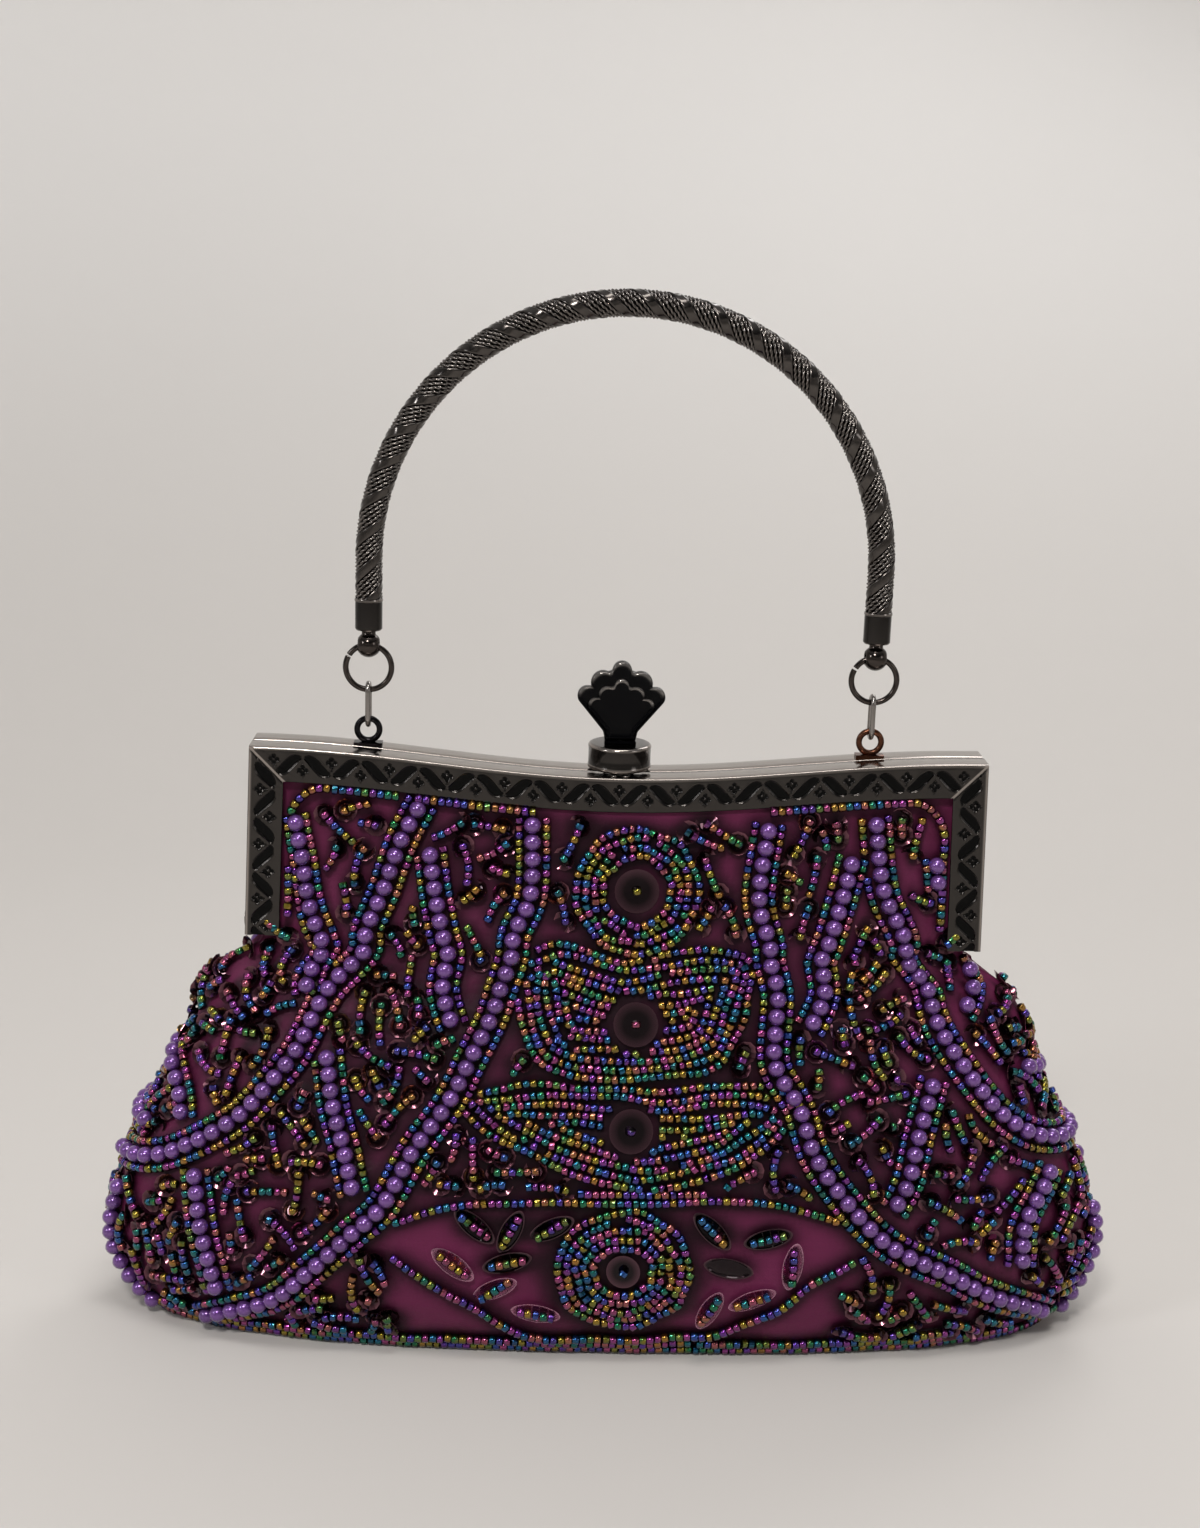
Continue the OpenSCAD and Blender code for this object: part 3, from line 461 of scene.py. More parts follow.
def pearl_finish(name, shade):
    """Pearl lacquer: soft clouds of paler and deeper lacquer under a clear coat, darkened by the attribute
    shade: painted shade on its underside, and its own random darkness.
    """
    look = Finish(name, Metallic=0.55, Roughness=0.26, Coat_Weight=0.8, Coat_Roughness=0.08)
    base = look.mix(look.span(look.noise(180, 3), 0.25, 0.75), shade, toned(shade, 1.5))
    base = look.mix(look.span(look.noise(260, 3), 0.0, 0.35), base, toned(shade, 0.6))
    # Painted shade on the underside, with each pearl's random darkness
    base = look.mix(look.attribute("shade"), base, toned(shade, 0.3))
    return look.done(Base_Color=base, Normal=look.bump(look.noise(900, 2), 0.05, 0.0001))


def sequin_finish(name, shade, rough, rim, alpha):
    """Metallised film: near mirror, with colour that drifts from piece to piece, and a paler rim, which is
    a painted glint. A clear one is solid at its rim alone, where that glint is painted."""
    look = Finish(name, Metallic=0.92, Roughness=rough, Coat_Weight=0.3, Coat_Roughness=0.05)
    base = look.mix(look.attribute("hue"), shade, toned(shade, 1.8))
    base = look.mix(look.span(look.noise(500, 2), 0.0, 0.5), base, toned(shade, 0.4))
    # Painted glint along the rim
    base = look.mix(look.attribute("rim"), base, rim)
    if alpha < 1:
        look.set(look.shader, Alpha=look.span(look.attribute("rim"), alpha, 0.9))
    return look.done(Base_Color=base)


def board_finish(name):
    """Grey strawboard with flecks."""
    look = Finish(name, Roughness=0.85)
    fleck = look.noise(900, 4)
    return look.done(Base_Color=look.mix(fleck, colour(150, 142, 128), colour(196, 188, 172)))


def backdrop_finish(name):
    """Plain matt paint, a little mottled, which goes from the floor's colour to a paler one up the wall by
    the
    attribute wall: the paler wall is painted light."""
    look = Finish(name, Roughness=0.9)
    paint = look.mix(look.attribute("wall"), colour(209, 205, 201), colour(240, 238, 236))
    mottled = look.mix(look.span(look.noise(3, 2), 0.0, 0.12), paint, colour(196, 192, 188))
    return look.done(Base_Color=mottled)


def finish(name):
    """The finish of that name, made on first use."""
    metal = props("metal")
    cloth = props("cloth")
    beads = props("beads")
    makers = {
        # For platings: colour, the dark colour of their painted shade, and roughness
        "Dark plating": (plating_finish, metal.plating, grey(0.008), 0.16),
        "Nickel plating": (plating_finish, metal.nickel, grey(0.02), 0.2),
        "Smoked plating": (plating_finish, metal.smoked, grey(0.008), 0.14),
        "Blackened plating": (plating_finish, metal.blackened, grey(0.008), 0.18),
        "Browned plating": (plating_finish, metal.browned, grey(0.01), 0.24),
        "Wound wire": (wire_finish, metal.wire),
        "Gloss enamel": (enamel_finish, metal.enamel, metal.nickel),
        "Plum satin": (satin_finish, cloth.satin, 1300),
        "Lining satin": (satin_finish, cloth.lining, 1700),
        "Rainbow seed beads": (iris_finish,),
        "Purple pearl": (pearl_finish, beads.pearl),
        # Sequins: colour, roughness, the colour of the rim's painted glint, and how solid a clear one's
        # middle is
        "Cup sequin": (sequin_finish, beads.sequin, 0.16, colour(104, 62, 74), 1.0),
        "Dark sequin": (sequin_finish, colour(22, 12, 16), 0.18, colour(82, 54, 64), 1.0),
        "Clear sequin": (sequin_finish, colour(140, 66, 104), 0.16, colour(186, 138, 160), 0.3),
        "Stiff board": (board_finish,),
        "Pale wall": (backdrop_finish,),
    }
    maker, *given = makers[name]
    return bpy.data.materials.get(name) or maker(name, *given)


# The frame's outline


def top_z(x):
    """Height of the frame's top edge: level at the corners with a squared-cosine dip in the middle."""
    share = np.minimum(1, np.abs(x) / HALF_W)
    return FRAME_TOP - DIP * np.cos(share * np.pi / 2) ** 2


def leg_x(z):
    """Outer face of the frame's arm at height z, leaning outwards towards the hinge."""
    return HALF_W + FLARE * (FRAME_TOP - z) / FRAME_H


# The cloth's surface

ARM_INNER_X = HALF_W - METAL_T - 1.6
CLOTH_Y = FACE_Y - METAL_T - 2.1
WIDTHS = np.array(
    [
        [0, 0.897 * BAG_HALF_W],
        [0.075 * HINGE_Z, 0.96 * BAG_HALF_W],
        [0.19 * HINGE_Z, BAG_HALF_W],
        [0.33 * HINGE_Z, 0.989 * BAG_HALF_W],
        [0.5 * HINGE_Z, 0.9325 * BAG_HALF_W],
        [0.69 * HINGE_Z, 0.853 * BAG_HALF_W],
        [POUCH_TOP, 0.794 * BAG_HALF_W],
        [HINGE_Z - EAR_R - 0.6, ARM_INNER_X + 0.8],
        [HINGE_Z, ARM_INNER_X + 0.8],
        [FRAME_TOP, ARM_INNER_X],
    ]
)
DEPTHS = np.array(
    [
        [0, 0.762 * BAG_HALF_D],
        [0.075 * HINGE_Z, 0.92 * BAG_HALF_D],
        [0.19 * HINGE_Z, BAG_HALF_D],
        [0.33 * HINGE_Z, 0.981 * BAG_HALF_D],
        [0.5 * HINGE_Z, 0.873 * BAG_HALF_D],
        [0.69 * HINGE_Z, 0.683 * BAG_HALF_D],
        [POUCH_TOP, 0.524 * BAG_HALF_D],
        [HINGE_Z, CLOTH_Y + 8],
        [HINGE_Z + 0.4 * FRAME_H, CLOTH_Y + 4],
        [LEDGE_Z - 8.6, FACE_Y - METAL_T - 0.3],
        [FRAME_TOP, CLOTH_Y + 0.2],
    ]
)


def cubic(u, start, rise, end, fall):
    """Cubic from start to end as u goes from 0 to 1, with the slope rise at its start and fall at its end."""
    return (
        start * (2 * u**3 - 3 * u**2 + 1)
        + rise * (u**3 - 2 * u**2 + u)
        + end * (3 * u**2 - 2 * u**3)
        + fall * (u**3 - u**2)
    )


def smooth(table, z):
    """Cubic through the table's points, whose slope at each point is the chord of its neighbours."""
    at, size = table.T
    ahead = np.minimum(np.arange(len(at)) + 1, len(at) - 1)
    behind = np.maximum(np.arange(len(at)) - 1, 0)
    slope = (size[ahead] - size[behind]) / (at[ahead] - at[behind])
    i = np.clip(np.searchsorted(at, z, side="right") - 1, 0, len(at) - 2)
    step = at[i + 1] - at[i]
    u = np.clip((z - at[i]) / step, 0, 1)
    return cubic(u, size[i], slope[i] * step, size[i + 1], slope[i + 1] * step)


def ease(z, low, high):
    """Smooth step from 0 at low to 1 at high."""
    u = np.clip((z - low) / (high - low), 0, 1)
    return u * u * (3 - 2 * u)


PUCKERS = 14
PUCKER_WAVES = unit(np.random.default_rng(3).normal(size=(PUCKERS, 3)))
PUCKER_WAVES = PUCKER_WAVES * (2 * np.pi / np.linspace(12, 40, PUCKERS))[:, None]
PUCKER_PHASES = np.random.default_rng(4).uniform(0, 2 * np.pi, PUCKERS)


def pucker(points):
    """Soft random height of the cloth: a sum of sine waves 12 to 40 mm long, faded out at the frame and at
    the base."""
    height = np.sin(points @ PUCKER_WAVES.T + PUCKER_PHASES).sum(-1) / 2.6
    z = points[..., 2]
    return height * (1 - ease(z, HINGE_Z + 18, HINGE_Z + 34)) * ease(z, 0, 8)


def plain_cloth(a, z, inset=0.0):
    """Point of the cloth: angle a goes round the bag, 0 at the front's middle and a half turn at the
    back's, and the section goes from a pillow at the frame to a boxy oval at the base."""
    a, z = np.broadcast_arrays(np.asarray(a, float), np.asarray(z, float))
    edge = CLOTH_Y * ease(z, POUCH_TOP, HINGE_Z)
    full = 0.42 + 0.58 * ease(z, 0.69 * HINGE_Z, HINGE_Z)
    half_w = smooth(WIDTHS, z) - np.where(z < HINGE_Z, inset, 0)
    half_d = smooth(DEPTHS, z)
    cosine = np.cos(a)
    x = np.sign(np.sin(a)) * half_w * np.abs(np.sin(a)) ** 0.8
    y = np.maximum(edge - inset, 0) + (half_d - np.maximum(edge, inset)) * np.abs(cosine) ** (2 * full)
    return np.stack([x, -np.where(cosine < 0, -1, 1) * y, z], -1)


def directions(a, z):
    """Rates of the cloth's point at a and z, by a and by z, and its outward normal as a unit vector."""
    step = 0.02
    lift = 0.6
    around = plain_cloth(a + step, z) - plain_cloth(a - step, z)
    upward = plain_cloth(a, np.minimum(z + lift, FRAME_TOP)) - plain_cloth(a, np.maximum(z - lift, 0))
    return around / (2 * step), upward / (2 * lift), unit(np.cross(around, upward))


def side_and_rise(a, z):
    """Unit vectors along the cloth at a and z: sideways, and square to that in its surface."""
    around, _, normal = directions(a, z)
    side = unit(around)
    return side, np.cross(normal, side)


def cloth(a, z, lift=0.0):
    """Point of the puckered cloth, lifted off it along its normal."""
    points = plain_cloth(a, z)
    amount = np.asarray(lift) + props("cloth").pucker / MM * pucker(points)
    return points + directions(a, z)[2] * amount[..., None]


def angle_at(x, z):
    """Angle a of the front's point at x. An x past the side goes on round to the back."""
    half_w = smooth(WIDTHS, z)
    over = np.abs(x) > half_w
    inside = np.where(over, 2 * half_w - np.abs(x), np.abs(x))
    a = np.arcsin(np.clip(inside / half_w, 0, 1) ** 1.25)
    return np.sign(x) * np.where(over, np.pi - a, a)


def walk(a, z, move):
    """New a and z after moving by the vector move along the cloth, from the least-squares step."""
    around, upward, _ = directions(a, z)
    aa = (around * around).sum(-1)
    au = (around * upward).sum(-1)
    uu = (upward * upward).sum(-1)
    ma = (move * around).sum(-1)
    mu = (move * upward).sum(-1)
    spread = aa * uu - au * au
    reach = np.linalg.norm(move, axis=-1)
    # Next to the side seam a step round the cloth is kept from running away
    most = 0.02 * reach
    return a + np.clip((ma * uu - mu * au) / spread, -most, most), z + (mu * aa - ma * au) / spread


# Metalwork


def pattern_relief(s, d):
    """Relief of the band at distance s along it and d in from its edge: pointed leaves follow a cosine
    wave, with thin raised outlines, and four-petal flowers sit above each valley and below each peak.
    Returns the height, where raised is positive, and how deep the recess is."""
    period = props("metal").pattern_period / MM
    phase = 2 * np.pi * s / period
    middle = 4.15
    swing = 1.85
    leaf_half = 1.95
    line_w = 0.17
    rim_w = 0.14
    wave = middle + swing * np.cos(phase)
    half = leaf_half * np.abs(np.sin(phase)) ** 0.95 + 1e-6
    across = np.abs(d - wave) / half
    leaf = ease(-across, -1.0, -0.8) * ease(half, 0.16, 0.4)
    outline = np.exp(-(((across - 1.18) * half / line_w) ** 2)) * ease(half, 0.15, 0.4)
    flowers = np.zeros_like(d)
    for shift, level in ((0.0, middle - 1.2), (period / 2, middle + 1.3)):
        dx = (s - shift + period / 2) % period - period / 2
        dz = d - level
        radius = np.hypot(dx, dz)
        turn = np.arctan2(dz, dx)
        petal = 1.5 * (0.5 + 0.5 * np.abs(np.cos(2 * turn)) ** 0.7)
        flowers = np.maximum(flowers, ease(petal - radius, 0.0, 0.2) * ease(radius, 0.2, 0.36))
        stem = np.exp(-((dx / line_w) ** 2)) * ease(-np.abs(np.abs(dz) - 1.75), -0.35, -0.1)
        flowers = np.maximum(flowers, stem)
    rim = np.exp(-(((d - 1.15) / rim_w) ** 2)) + 0.8 * np.exp(-(((d - 7.35) / rim_w) ** 2))
    inside = ease(d, 1.2, 1.5) * ease(-d, -7.3, -6.9)
    dark = np.clip((leaf + flowers) * inside, 0, 1)
    height = 0.1 * rim + inside * (0.13 * outline + 0.06) - dark
    return height, dark


def band_columns():
    """Columns along the frame half: up the left arm, across the top and down the right arm. Returns each
    column's share of its stretch, and which stretch that is."""
    arm = 200
    top = 800
    up_arm = np.linspace(0, 1, arm + 1)
    share = np.concatenate([up_arm[:-1], np.linspace(0, 1, top + 1)[:-1], up_arm])
    stretch = np.repeat([0, 1, 2], [arm, top, arm + 1])
    return share, stretch


def channel_section(width):
    """Section of a frame half as a closed outline of (inset, depth): the rounded outer corner, close rows
    across the decorated face, and the rolled edge, back and inner wall of the sheet."""
    back = FACE_Y - METAL_T
    wall = GAP_Y + METAL_T
    wall_in = 5
    face_rows = np.arange(0.8, width - 0.55, 0.19)
    return np.array(
        [[0.25, GAP_Y], [0.07, GAP_Y + 0.07], [0, GAP_Y + 0.25], [0, 3], [0, 5], [0, FACE_Y - 0.6]]
        + [[0.05, FACE_Y - 0.3], [0.18, FACE_Y - 0.1], [0.4, FACE_Y]]
        + [[d, FACE_Y] for d in face_rows]
        + [[width - 0.28, FACE_Y], [width - 0.08, FACE_Y - 0.1], [width, FACE_Y - 0.35]]
        + [[width - 0.08, FACE_Y - 0.7], [width - 0.4, back], [METAL_T, back], [METAL_T, wall + 2]]
        + [[METAL_T, wall], [2, wall], [wall_in - 0.2, wall], [wall_in, wall - 0.2], [wall_in, GAP_Y + 0.2]]
        + [[wall_in - 0.2, GAP_Y]]
    )


def frame_band(name, half, body):
    """One half of the frame: the channel's section carried along the outline with mitred corners. half is
    -1 for the front and 1 for the rear."""
    metal = props("metal")
    width = metal.band_width / MM
    share, stretch = band_columns()
    on_top = stretch == 1
    section = channel_section(width)
    d, depth = (np.repeat(section[:, k : k + 1], len(share), axis=1) for k in (0, 1))
    low = HINGE_Z - 2
    corner_z = FRAME_TOP - d
    arm_z = np.where(stretch == 0, low + share * (corner_z - low), corner_z - share * (corner_z - low))
    # The inner wall stops above the ears, and the front's outer wall is cut back round the rear's ears
    over_ears = ~on_top & (arm_z < HINGE_Z + EAR_R + 1.5)
    in_wall = (depth < GAP_Y + METAL_T + 1) & (d > METAL_T)
    d = np.where(over_ears & in_wall, METAL_T + 0.02 * (d - METAL_T), d)
    if half < 0:
        reach = np.sqrt(np.maximum((EAR_R + 0.5) ** 2 - (arm_z - HINGE_Z) ** 2, 0))
        depth = np.where(~on_top, np.maximum(depth, reach), depth)
    top_x = -(HALF_W - d) + share * 2 * (HALF_W - d)
    arm_x = np.where(stretch == 0, -1, 1) * (leg_x(arm_z) - d)
    x = np.where(on_top, top_x, arm_x)
    z = np.where(on_top, top_z(top_x) - d, arm_z)
    pattern_start = 3.5
    along = np.where(on_top, top_x, FRAME_TOP - arm_z + pattern_start)
    height, dark = pattern_relief(along, d)
    mitre = np.where(on_top, HALF_W - d - np.abs(top_x), FRAME_TOP - d - arm_z)
    clear = ease(mitre, 0.35, 0.9)
    outermost = depth >= FACE_Y - 1e-6
    on_face = (outermost & (d > 0.7) & (d < width - 0.5)).astype(float) * clear
    # The mitre shows as a fine groove with slanting strokes of the graver beside it
    groove = 0.12
    strokes = np.sin((x * 0.6 + z) * 3.7) * ease(-mitre, -7.5, -3.5)
    height = height - 0.1 * ease(strokes, 0.8, 0.95)
    depth = depth + on_face * height * metal.relief / MM - (1 - clear) * outermost * groove
    # The face is darkened as painted reflection of a dark room, but keeps the bright plating along its
    # outer edge and the mitre as painted highlight. The arms' outer sides are a little darker, fading out
    # at the top corner
    face_painted_reflection = 0.88
    side_darkening = 0.55
    smoked = face_painted_reflection * (d >= 0.4) * ease(d, 0.35, 0.95) * (depth > FACE_Y - 0.6)
    smoked = smoked * ease(np.abs(mitre - 0.15), 0.08, 0.3)
    smoked = np.where(~on_top & (d < 0.3), side_darkening * ease(arm_z, FRAME_TOP, FRAME_TOP - 1.5), smoked)
    # The pattern's sunken leaves and flowers are darkest
    shadow = np.maximum(smoked, dark * on_face)
    piece = build(
        name, np.stack([x, half * depth, z], -1), grid(*d.shape, closed_rows=True), finish("Dark plating"),
        body, caps=row_ends(*d.shape), sharp=50, recess=np.clip(shadow, 0, 1),
    )
    return piece


def hinge_ears(name, half, x_low, x_high, body):
    """Hinge ears on both sides: a disc on the hinge's axis with a strap up to the frame, as an outline
    of (depth, height) given thickness, with its edges drawn in a little."""
    turn = np.radians(np.arange(180, 451, 10))
    disc = np.stack([-half * EAR_R * np.cos(turn), HINGE_Z + EAR_R * np.sin(turn)], -1)
    out, tall = (FACE_Y - 0.5, 4) if half < 0 else (EAR_R, 3)
    low = HINGE_Z + EAR_R
    high = low + tall
    strap = [[half * GAP_Y, low], [half * GAP_Y, high], [half * out, high], [half * out, HINGE_Z]]
    outline = np.concatenate([disc, strap])
    middle = outline.mean(0)
    edge = 0.12
    rows = [(x_low, 0.95), (x_low + edge, 1), (x_high - edge, 1), (x_high, 0.95)]
    points, quads, caps = [], [], []
    count = len(outline)
    for side in (-1, 1):
        base = sum(len(p) for p in points)
        rings = [np.column_stack([[side * x] * count, middle + k * (outline - middle)]) for x, k in rows]
        points.append(np.concatenate(rings))
        strip = grid(len(rows), count, closed_cols=True) + base
        quads.append(strip[:, ::side])
        caps += [[i + base for i in cap][::side] for cap in ring_ends(len(rows), count)]
    points, quads = np.concatenate(points), np.concatenate(quads)
    piece = build(name, points, quads, finish("Dark plating"), body, caps=caps)
    return piece


DRUM_Y = 1.5
DRUM_R = 7.8


def drum():
    """Clasp drum: a turned cup, open below, with a bead round its foot and a rounded top edge. Its rear
    rim is cut back so that it can tilt."""
    low, high = (p.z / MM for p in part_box("clasp_drum"))
    tall = high - low
    wall = DRUM_R - 0.7
    # Each row is radius, height and painted shade: the side and top are darkened as painted reflection, while
    # the rounded top edge and the foot's bead stay bright as painted highlight
    rows = [
        (0.05, tall, 0.8), (6.6, tall, 0.8), (7.2, tall - 0.04, 0.6), (7.55, tall - 0.2, 0.0),
        (DRUM_R, tall - 0.55, 0.2), (DRUM_R, tall - 0.9, 0.8), (DRUM_R - 0.1, tall - 1.0, 0.9),
        (DRUM_R - 0.1, 1.15, 0.9), (DRUM_R, 1.0, 0.4), (DRUM_R, 0.25, 0.5), (DRUM_R - 0.2, 0.05, 0.9),
        (wall, 0.05, 0.9), (wall, tall - 1.2, 0.9), (0.05, tall - 1.2, 0.9),
    ]

    def cut_back(points):
        behind_y = 4.3
        rim_z = 1.1
        low_rear = (points[..., 1] > behind_y) & (points[..., 2] < rim_z)
        points[..., 2] = np.where(low_rear, rim_z, points[..., 2])
        return points

    piece = turned_metal("clasp_drum_turned", rows, 96, (0, DRUM_Y, low), "knob", 60, cut_back)
    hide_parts("clasp_drum")
    return piece


# The shell as x and height above its foot: a point low in its middle, the round lobes with their radii, and
# the foot and the right edge of the tapering stem
SHELL_CENTRE = np.array([0, 8.0])
SHELL_LOBES = ((0, 17.3, 2.4), (4.6, 14.2, 3), (-4.6, 14.2, 3), (8.4, 10.9, 2.4), (-8.4, 10.9, 2.4))
SHELL_STEM = np.array([[-3.8, 0], [3.8, 0], [4.3, 2.2], [10.1, 9.2], [8.4, 12.4], [4.6, 16.4], [0, 18.4]])
SHELL_H = 19.7


def scallop_outline(count):
    """Outline of the shell as (x, height): the outermost of its lobes and its stem, seen from its middle."""
    turn = np.linspace(0, 2 * np.pi, count, endpoint=False) + np.pi / count
    ray = np.stack([np.cos(turn), np.sin(turn)], -1)
    reach = np.zeros(count)
    for x, z, r in SHELL_LOBES:
        offset = np.array([x, z]) - SHELL_CENTRE
        along = ray @ offset
        inside = r * r - (offset @ offset - along**2)
        far = along + np.sqrt(np.maximum(inside, 0))
        reach = np.where((inside > 0) & (far > 0), np.maximum(reach, far), reach)
    stem = np.concatenate([SHELL_STEM, SHELL_STEM[5:1:-1] * [-1, 1]])
    for start, end in zip(stem, np.roll(stem, -1, axis=0)):
        side = end - start
        cross = ray[:, 0] * side[1] - ray[:, 1] * side[0]
        cross = np.where(np.abs(cross) < 1e-9, 1e-9, cross)
        gap = start - SHELL_CENTRE
        t = (gap[0] * side[1] - gap[1] * side[0]) / cross
        s = (gap[0] * ray[:, 1] - gap[1] * ray[:, 0]) / cross
        reach = np.where((t > 0) & (s >= 0) & (s <= 1), np.maximum(reach, t), reach)
    return SHELL_CENTRE + ray * reach[:, None]


def finial():
    """Shell finial: the scalloped outline at shrinking scales and growing heights, so that a smaller
    shell stands proud of the larger one on both faces, each with a raised lip along its edge."""
    low, high = (p.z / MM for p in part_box("shell_finial"))
    pad = 0.8
    outline = scallop_outline(180)
    scale = (high - low - pad) / SHELL_H
    # Each row is how large the outline is, the height of the face, whether it is the small shell, and how
    # far bare metal shows there, as wear and painted highlight
    rows = [
        (1.0, 0.0, 0, 0), (1.0, 0.8, 0, 0.1), (0.985, 1.25, 0, 0.8), (0.955, 1.5, 0, 0.7),
        (0.915, 1.46, 0, 0.1), (0.88, 1.3, 0, 0), (0.82, 1.3, 0, 0), (1.0, 1.3, 1, 0),
        (0.99, 1.95, 1, 0.3), (0.965, 2.3, 1, 1), (0.925, 2.3, 1, 0.8), (0.885, 2.08, 1, 0),
        (0.8, 2.02, 1, 0), (0.4, 2.08, 1, 0), (0.02, 2.1, 1, 0),
    ]
    small_scale = 0.76
    small_rise = [0, 0.6]
    rings = []
    for share, height, small, _ in rows:
        ring = SHELL_CENTRE + share * (outline - SHELL_CENTRE)
        if small:
            ring = small_scale * ring + small_rise
        rings.append(np.column_stack([ring[:, 0], np.full(len(ring), -height), ring[:, 1]]))
    worn = np.array(rows)[:, 3]
    worn = np.concatenate([worn[::-1], worn[1:]])
    # Bare metal shows only where the lips face upwards, as painted highlight
    edge = np.roll(outline, -1, axis=0) - np.roll(outline, 1, axis=0)
    upward = ease(-edge[:, 0] / np.linalg.norm(edge, axis=1), 0.0, 0.75)
    front = np.array(rings)
    rear = front[1:] * [1, -1, 1]
    both = np.concatenate([front[::-1], rear])
    points = both * scale + [0, DRUM_Y, low + pad]
    points[..., 2] = np.maximum(points[..., 2], low + 0.75)
    piece = build(
        "shell_finial_cast", points, grid(*both.shape[:2], closed_cols=True), finish("Gloss enamel"), "knob",
        caps=ring_ends(*both.shape[:2]), sharp=60, wear=worn[:, None] * upward,
    )
    # The foot is a plate with its edges drawn in, by half width, height and half depth
    edges = [(3.62, 0.0, 1.9), (3.9, 0.12, 2.1), (3.9, pad - 0.12, 2.1), (3.62, pad, 1.9)]
    rings = [[[-w, -t, h], [w, -t, h], [w, t, h], [-w, t, h]] for w, h, t in edges]
    foot = build(
        "shell_finial_foot", np.array(rings) + [0, DRUM_Y, low], grid(4, 4, closed_cols=True),
        finish("Gloss enamel"), "knob", caps=ring_ends(4, 4),
    )
    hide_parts("shell_finial")
    return piece


ARCH_R = CHAIN_X
SLEEVE_R = 3.05
FERRULE_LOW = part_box("ferrule_right")[0].z / MM
FERRULE_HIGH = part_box("ferrule_right")[1].z / MM
ARCH_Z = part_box("handle_ribbons")[1].z / MM - ARCH_R - SLEEVE_R - 0.4
LEG_H = ARCH_Z - FERRULE_HIGH


def on_handle(s, turn, radius):
    """Point at distance s along the handle from the left ferrule's top, at angle turn round it."""
    arch = np.pi * ARCH_R
    bend = np.clip((s - LEG_H) / arch, 0, 1) * np.pi
    past = np.minimum(s - LEG_H, 0) + np.minimum(LEG_H + arch - s, 0)
    out = ARCH_R + radius * np.cos(turn)
    z = ARCH_Z + out * np.sin(bend) + past
    return np.stack([-out * np.cos(bend), CHAIN_Y + radius * np.sin(turn), z], -1)


def wound_sleeve():
    """Handle: two flat ribbons and the twisted wires between them, wound side by side as helices. The grid
    is sheared so that its rows run along the wires: row p lies at phase p of the lay, and the turning angle
    at distance s is that of s minus the phase. A wire's radius swells and sinks along it as a slanting
    sine, the way two strands twisted together do."""
    whole = 2 * LEG_H + np.pi * ARCH_R
    turns = 12
    start_s = 2
    ribbon_w = 3.2
    lay = (2 * (LEG_H - start_s) + np.pi * ARCH_R - ribbon_w) / turns
    wires = 4
    wire_w = (lay / 2 - ribbon_w) / wires
    twist_run = 1.15
    ribbon_out = 0.26
    most_swell = 0.34
    # Each row is its phase, how proud it stands, its share of the swell, the wire's own shift, and flatness
    rows = []
    for half in range(2):
        start = half * lay / 2
        edges = ((0.0, -0.2), (0.05, 0.2), (0.2, ribbon_out), (0.8, ribbon_out), (0.95, 0.2))
        rows += [(start + share * ribbon_w, proud, 0.0, 0.0, 1.0) for share, proud in edges]
        for wire in range(wires):
            for share in (0.0, 0.25, 0.5, 0.75):
                arch = math.sin(math.pi * share) ** 0.7
                phase = start + ribbon_w + (wire + share) * wire_w
                rows.append((phase, 0.26 * arch - 0.28, most_swell * arch, 0.37 * wire + 0.5 * share, 0.0))
    phase, proud, swell, shift, flat = np.array(rows).T[:, :, None]
    s = np.linspace(-0.5, whole + 0.5, 1500)[None]
    twist = 0.5 + 0.5 * np.sin(2 * np.pi * (s / twist_run + shift))
    points = on_handle(s, -2 * np.pi * (s - phase - start_s) / lay, SLEEVE_R + proud + swell * twist)
    # Painted shade: dark between the wires, in the hollows of the twists and at the ribbons' sunken edges
    deep = np.where(flat > 0, proud < 0, np.clip(1 - swell / most_swell * (0.3 + 0.7 * twist), 0, 1))
    shape = points.shape[:2]
    piece = build(
        "handle_wire_winding", points, grid(*shape, closed_rows=True), finish("Wound wire"), "handle",
        caps=row_ends(*shape), sharp=75, recess=deep, ribbon=np.broadcast_to(flat, shape),
    )
    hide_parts("handle_sleeve", "handle_ribbons")
    return piece


def ferrules():
    """Ferrules: turned cups with a rolled lip at the top and a rounded foot."""
    tall = FERRULE_HIGH - FERRULE_LOW
    outer = SLEEVE_R + 0.3
    # Each row is radius, height and painted shade: the side is darkened as painted reflection, the rolled lip
    # kept bright as painted highlight
    rows = [
        (0.05, 0, 0.9), (2.6, 0, 0.9), (3.05, 0.12, 0.5), (outer - 0.03, 0.5, 0.9),
        (outer - 0.03, tall - 0.9, 0.93), (outer + 0.1, tall - 0.75, 0.7), (outer + 0.12, tall - 0.4, 0.2),
        (outer + 0.02, tall - 0.12, 0.6), (outer - 0.2, tall, 0.9), (0.05, tall, 0.9),
    ]
    for side, name in ((-1, "ferrule_left"), (1, "ferrule_right")):
        piece = turned_metal(name + "_turned", rows, 48, (side * CHAIN_X, CHAIN_Y, FERRULE_LOW), "handle")
        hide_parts(name)


# Cloth


def sheet_between(outer, inner):
    """Closed sheet between two grids of points: both faces, and the strip round their edges."""
    faces = grid(*outer.shape[:2])
    count = outer[..., 0].size
    index = np.arange(count).reshape(outer.shape[:2])
    loop = np.concatenate([index[0, :-1], index[:-1, -1], index[-1, :0:-1], index[:0:-1, 0]])
    ahead = np.roll(loop, -1)
    strip = np.stack([ahead, loop, loop + count, ahead + count], -1)
    quads = np.concatenate([faces, faces[:, ::-1] + count, strip])
    return np.concatenate([outer.reshape(-1, 3), inner.reshape(-1, 3)]), quads


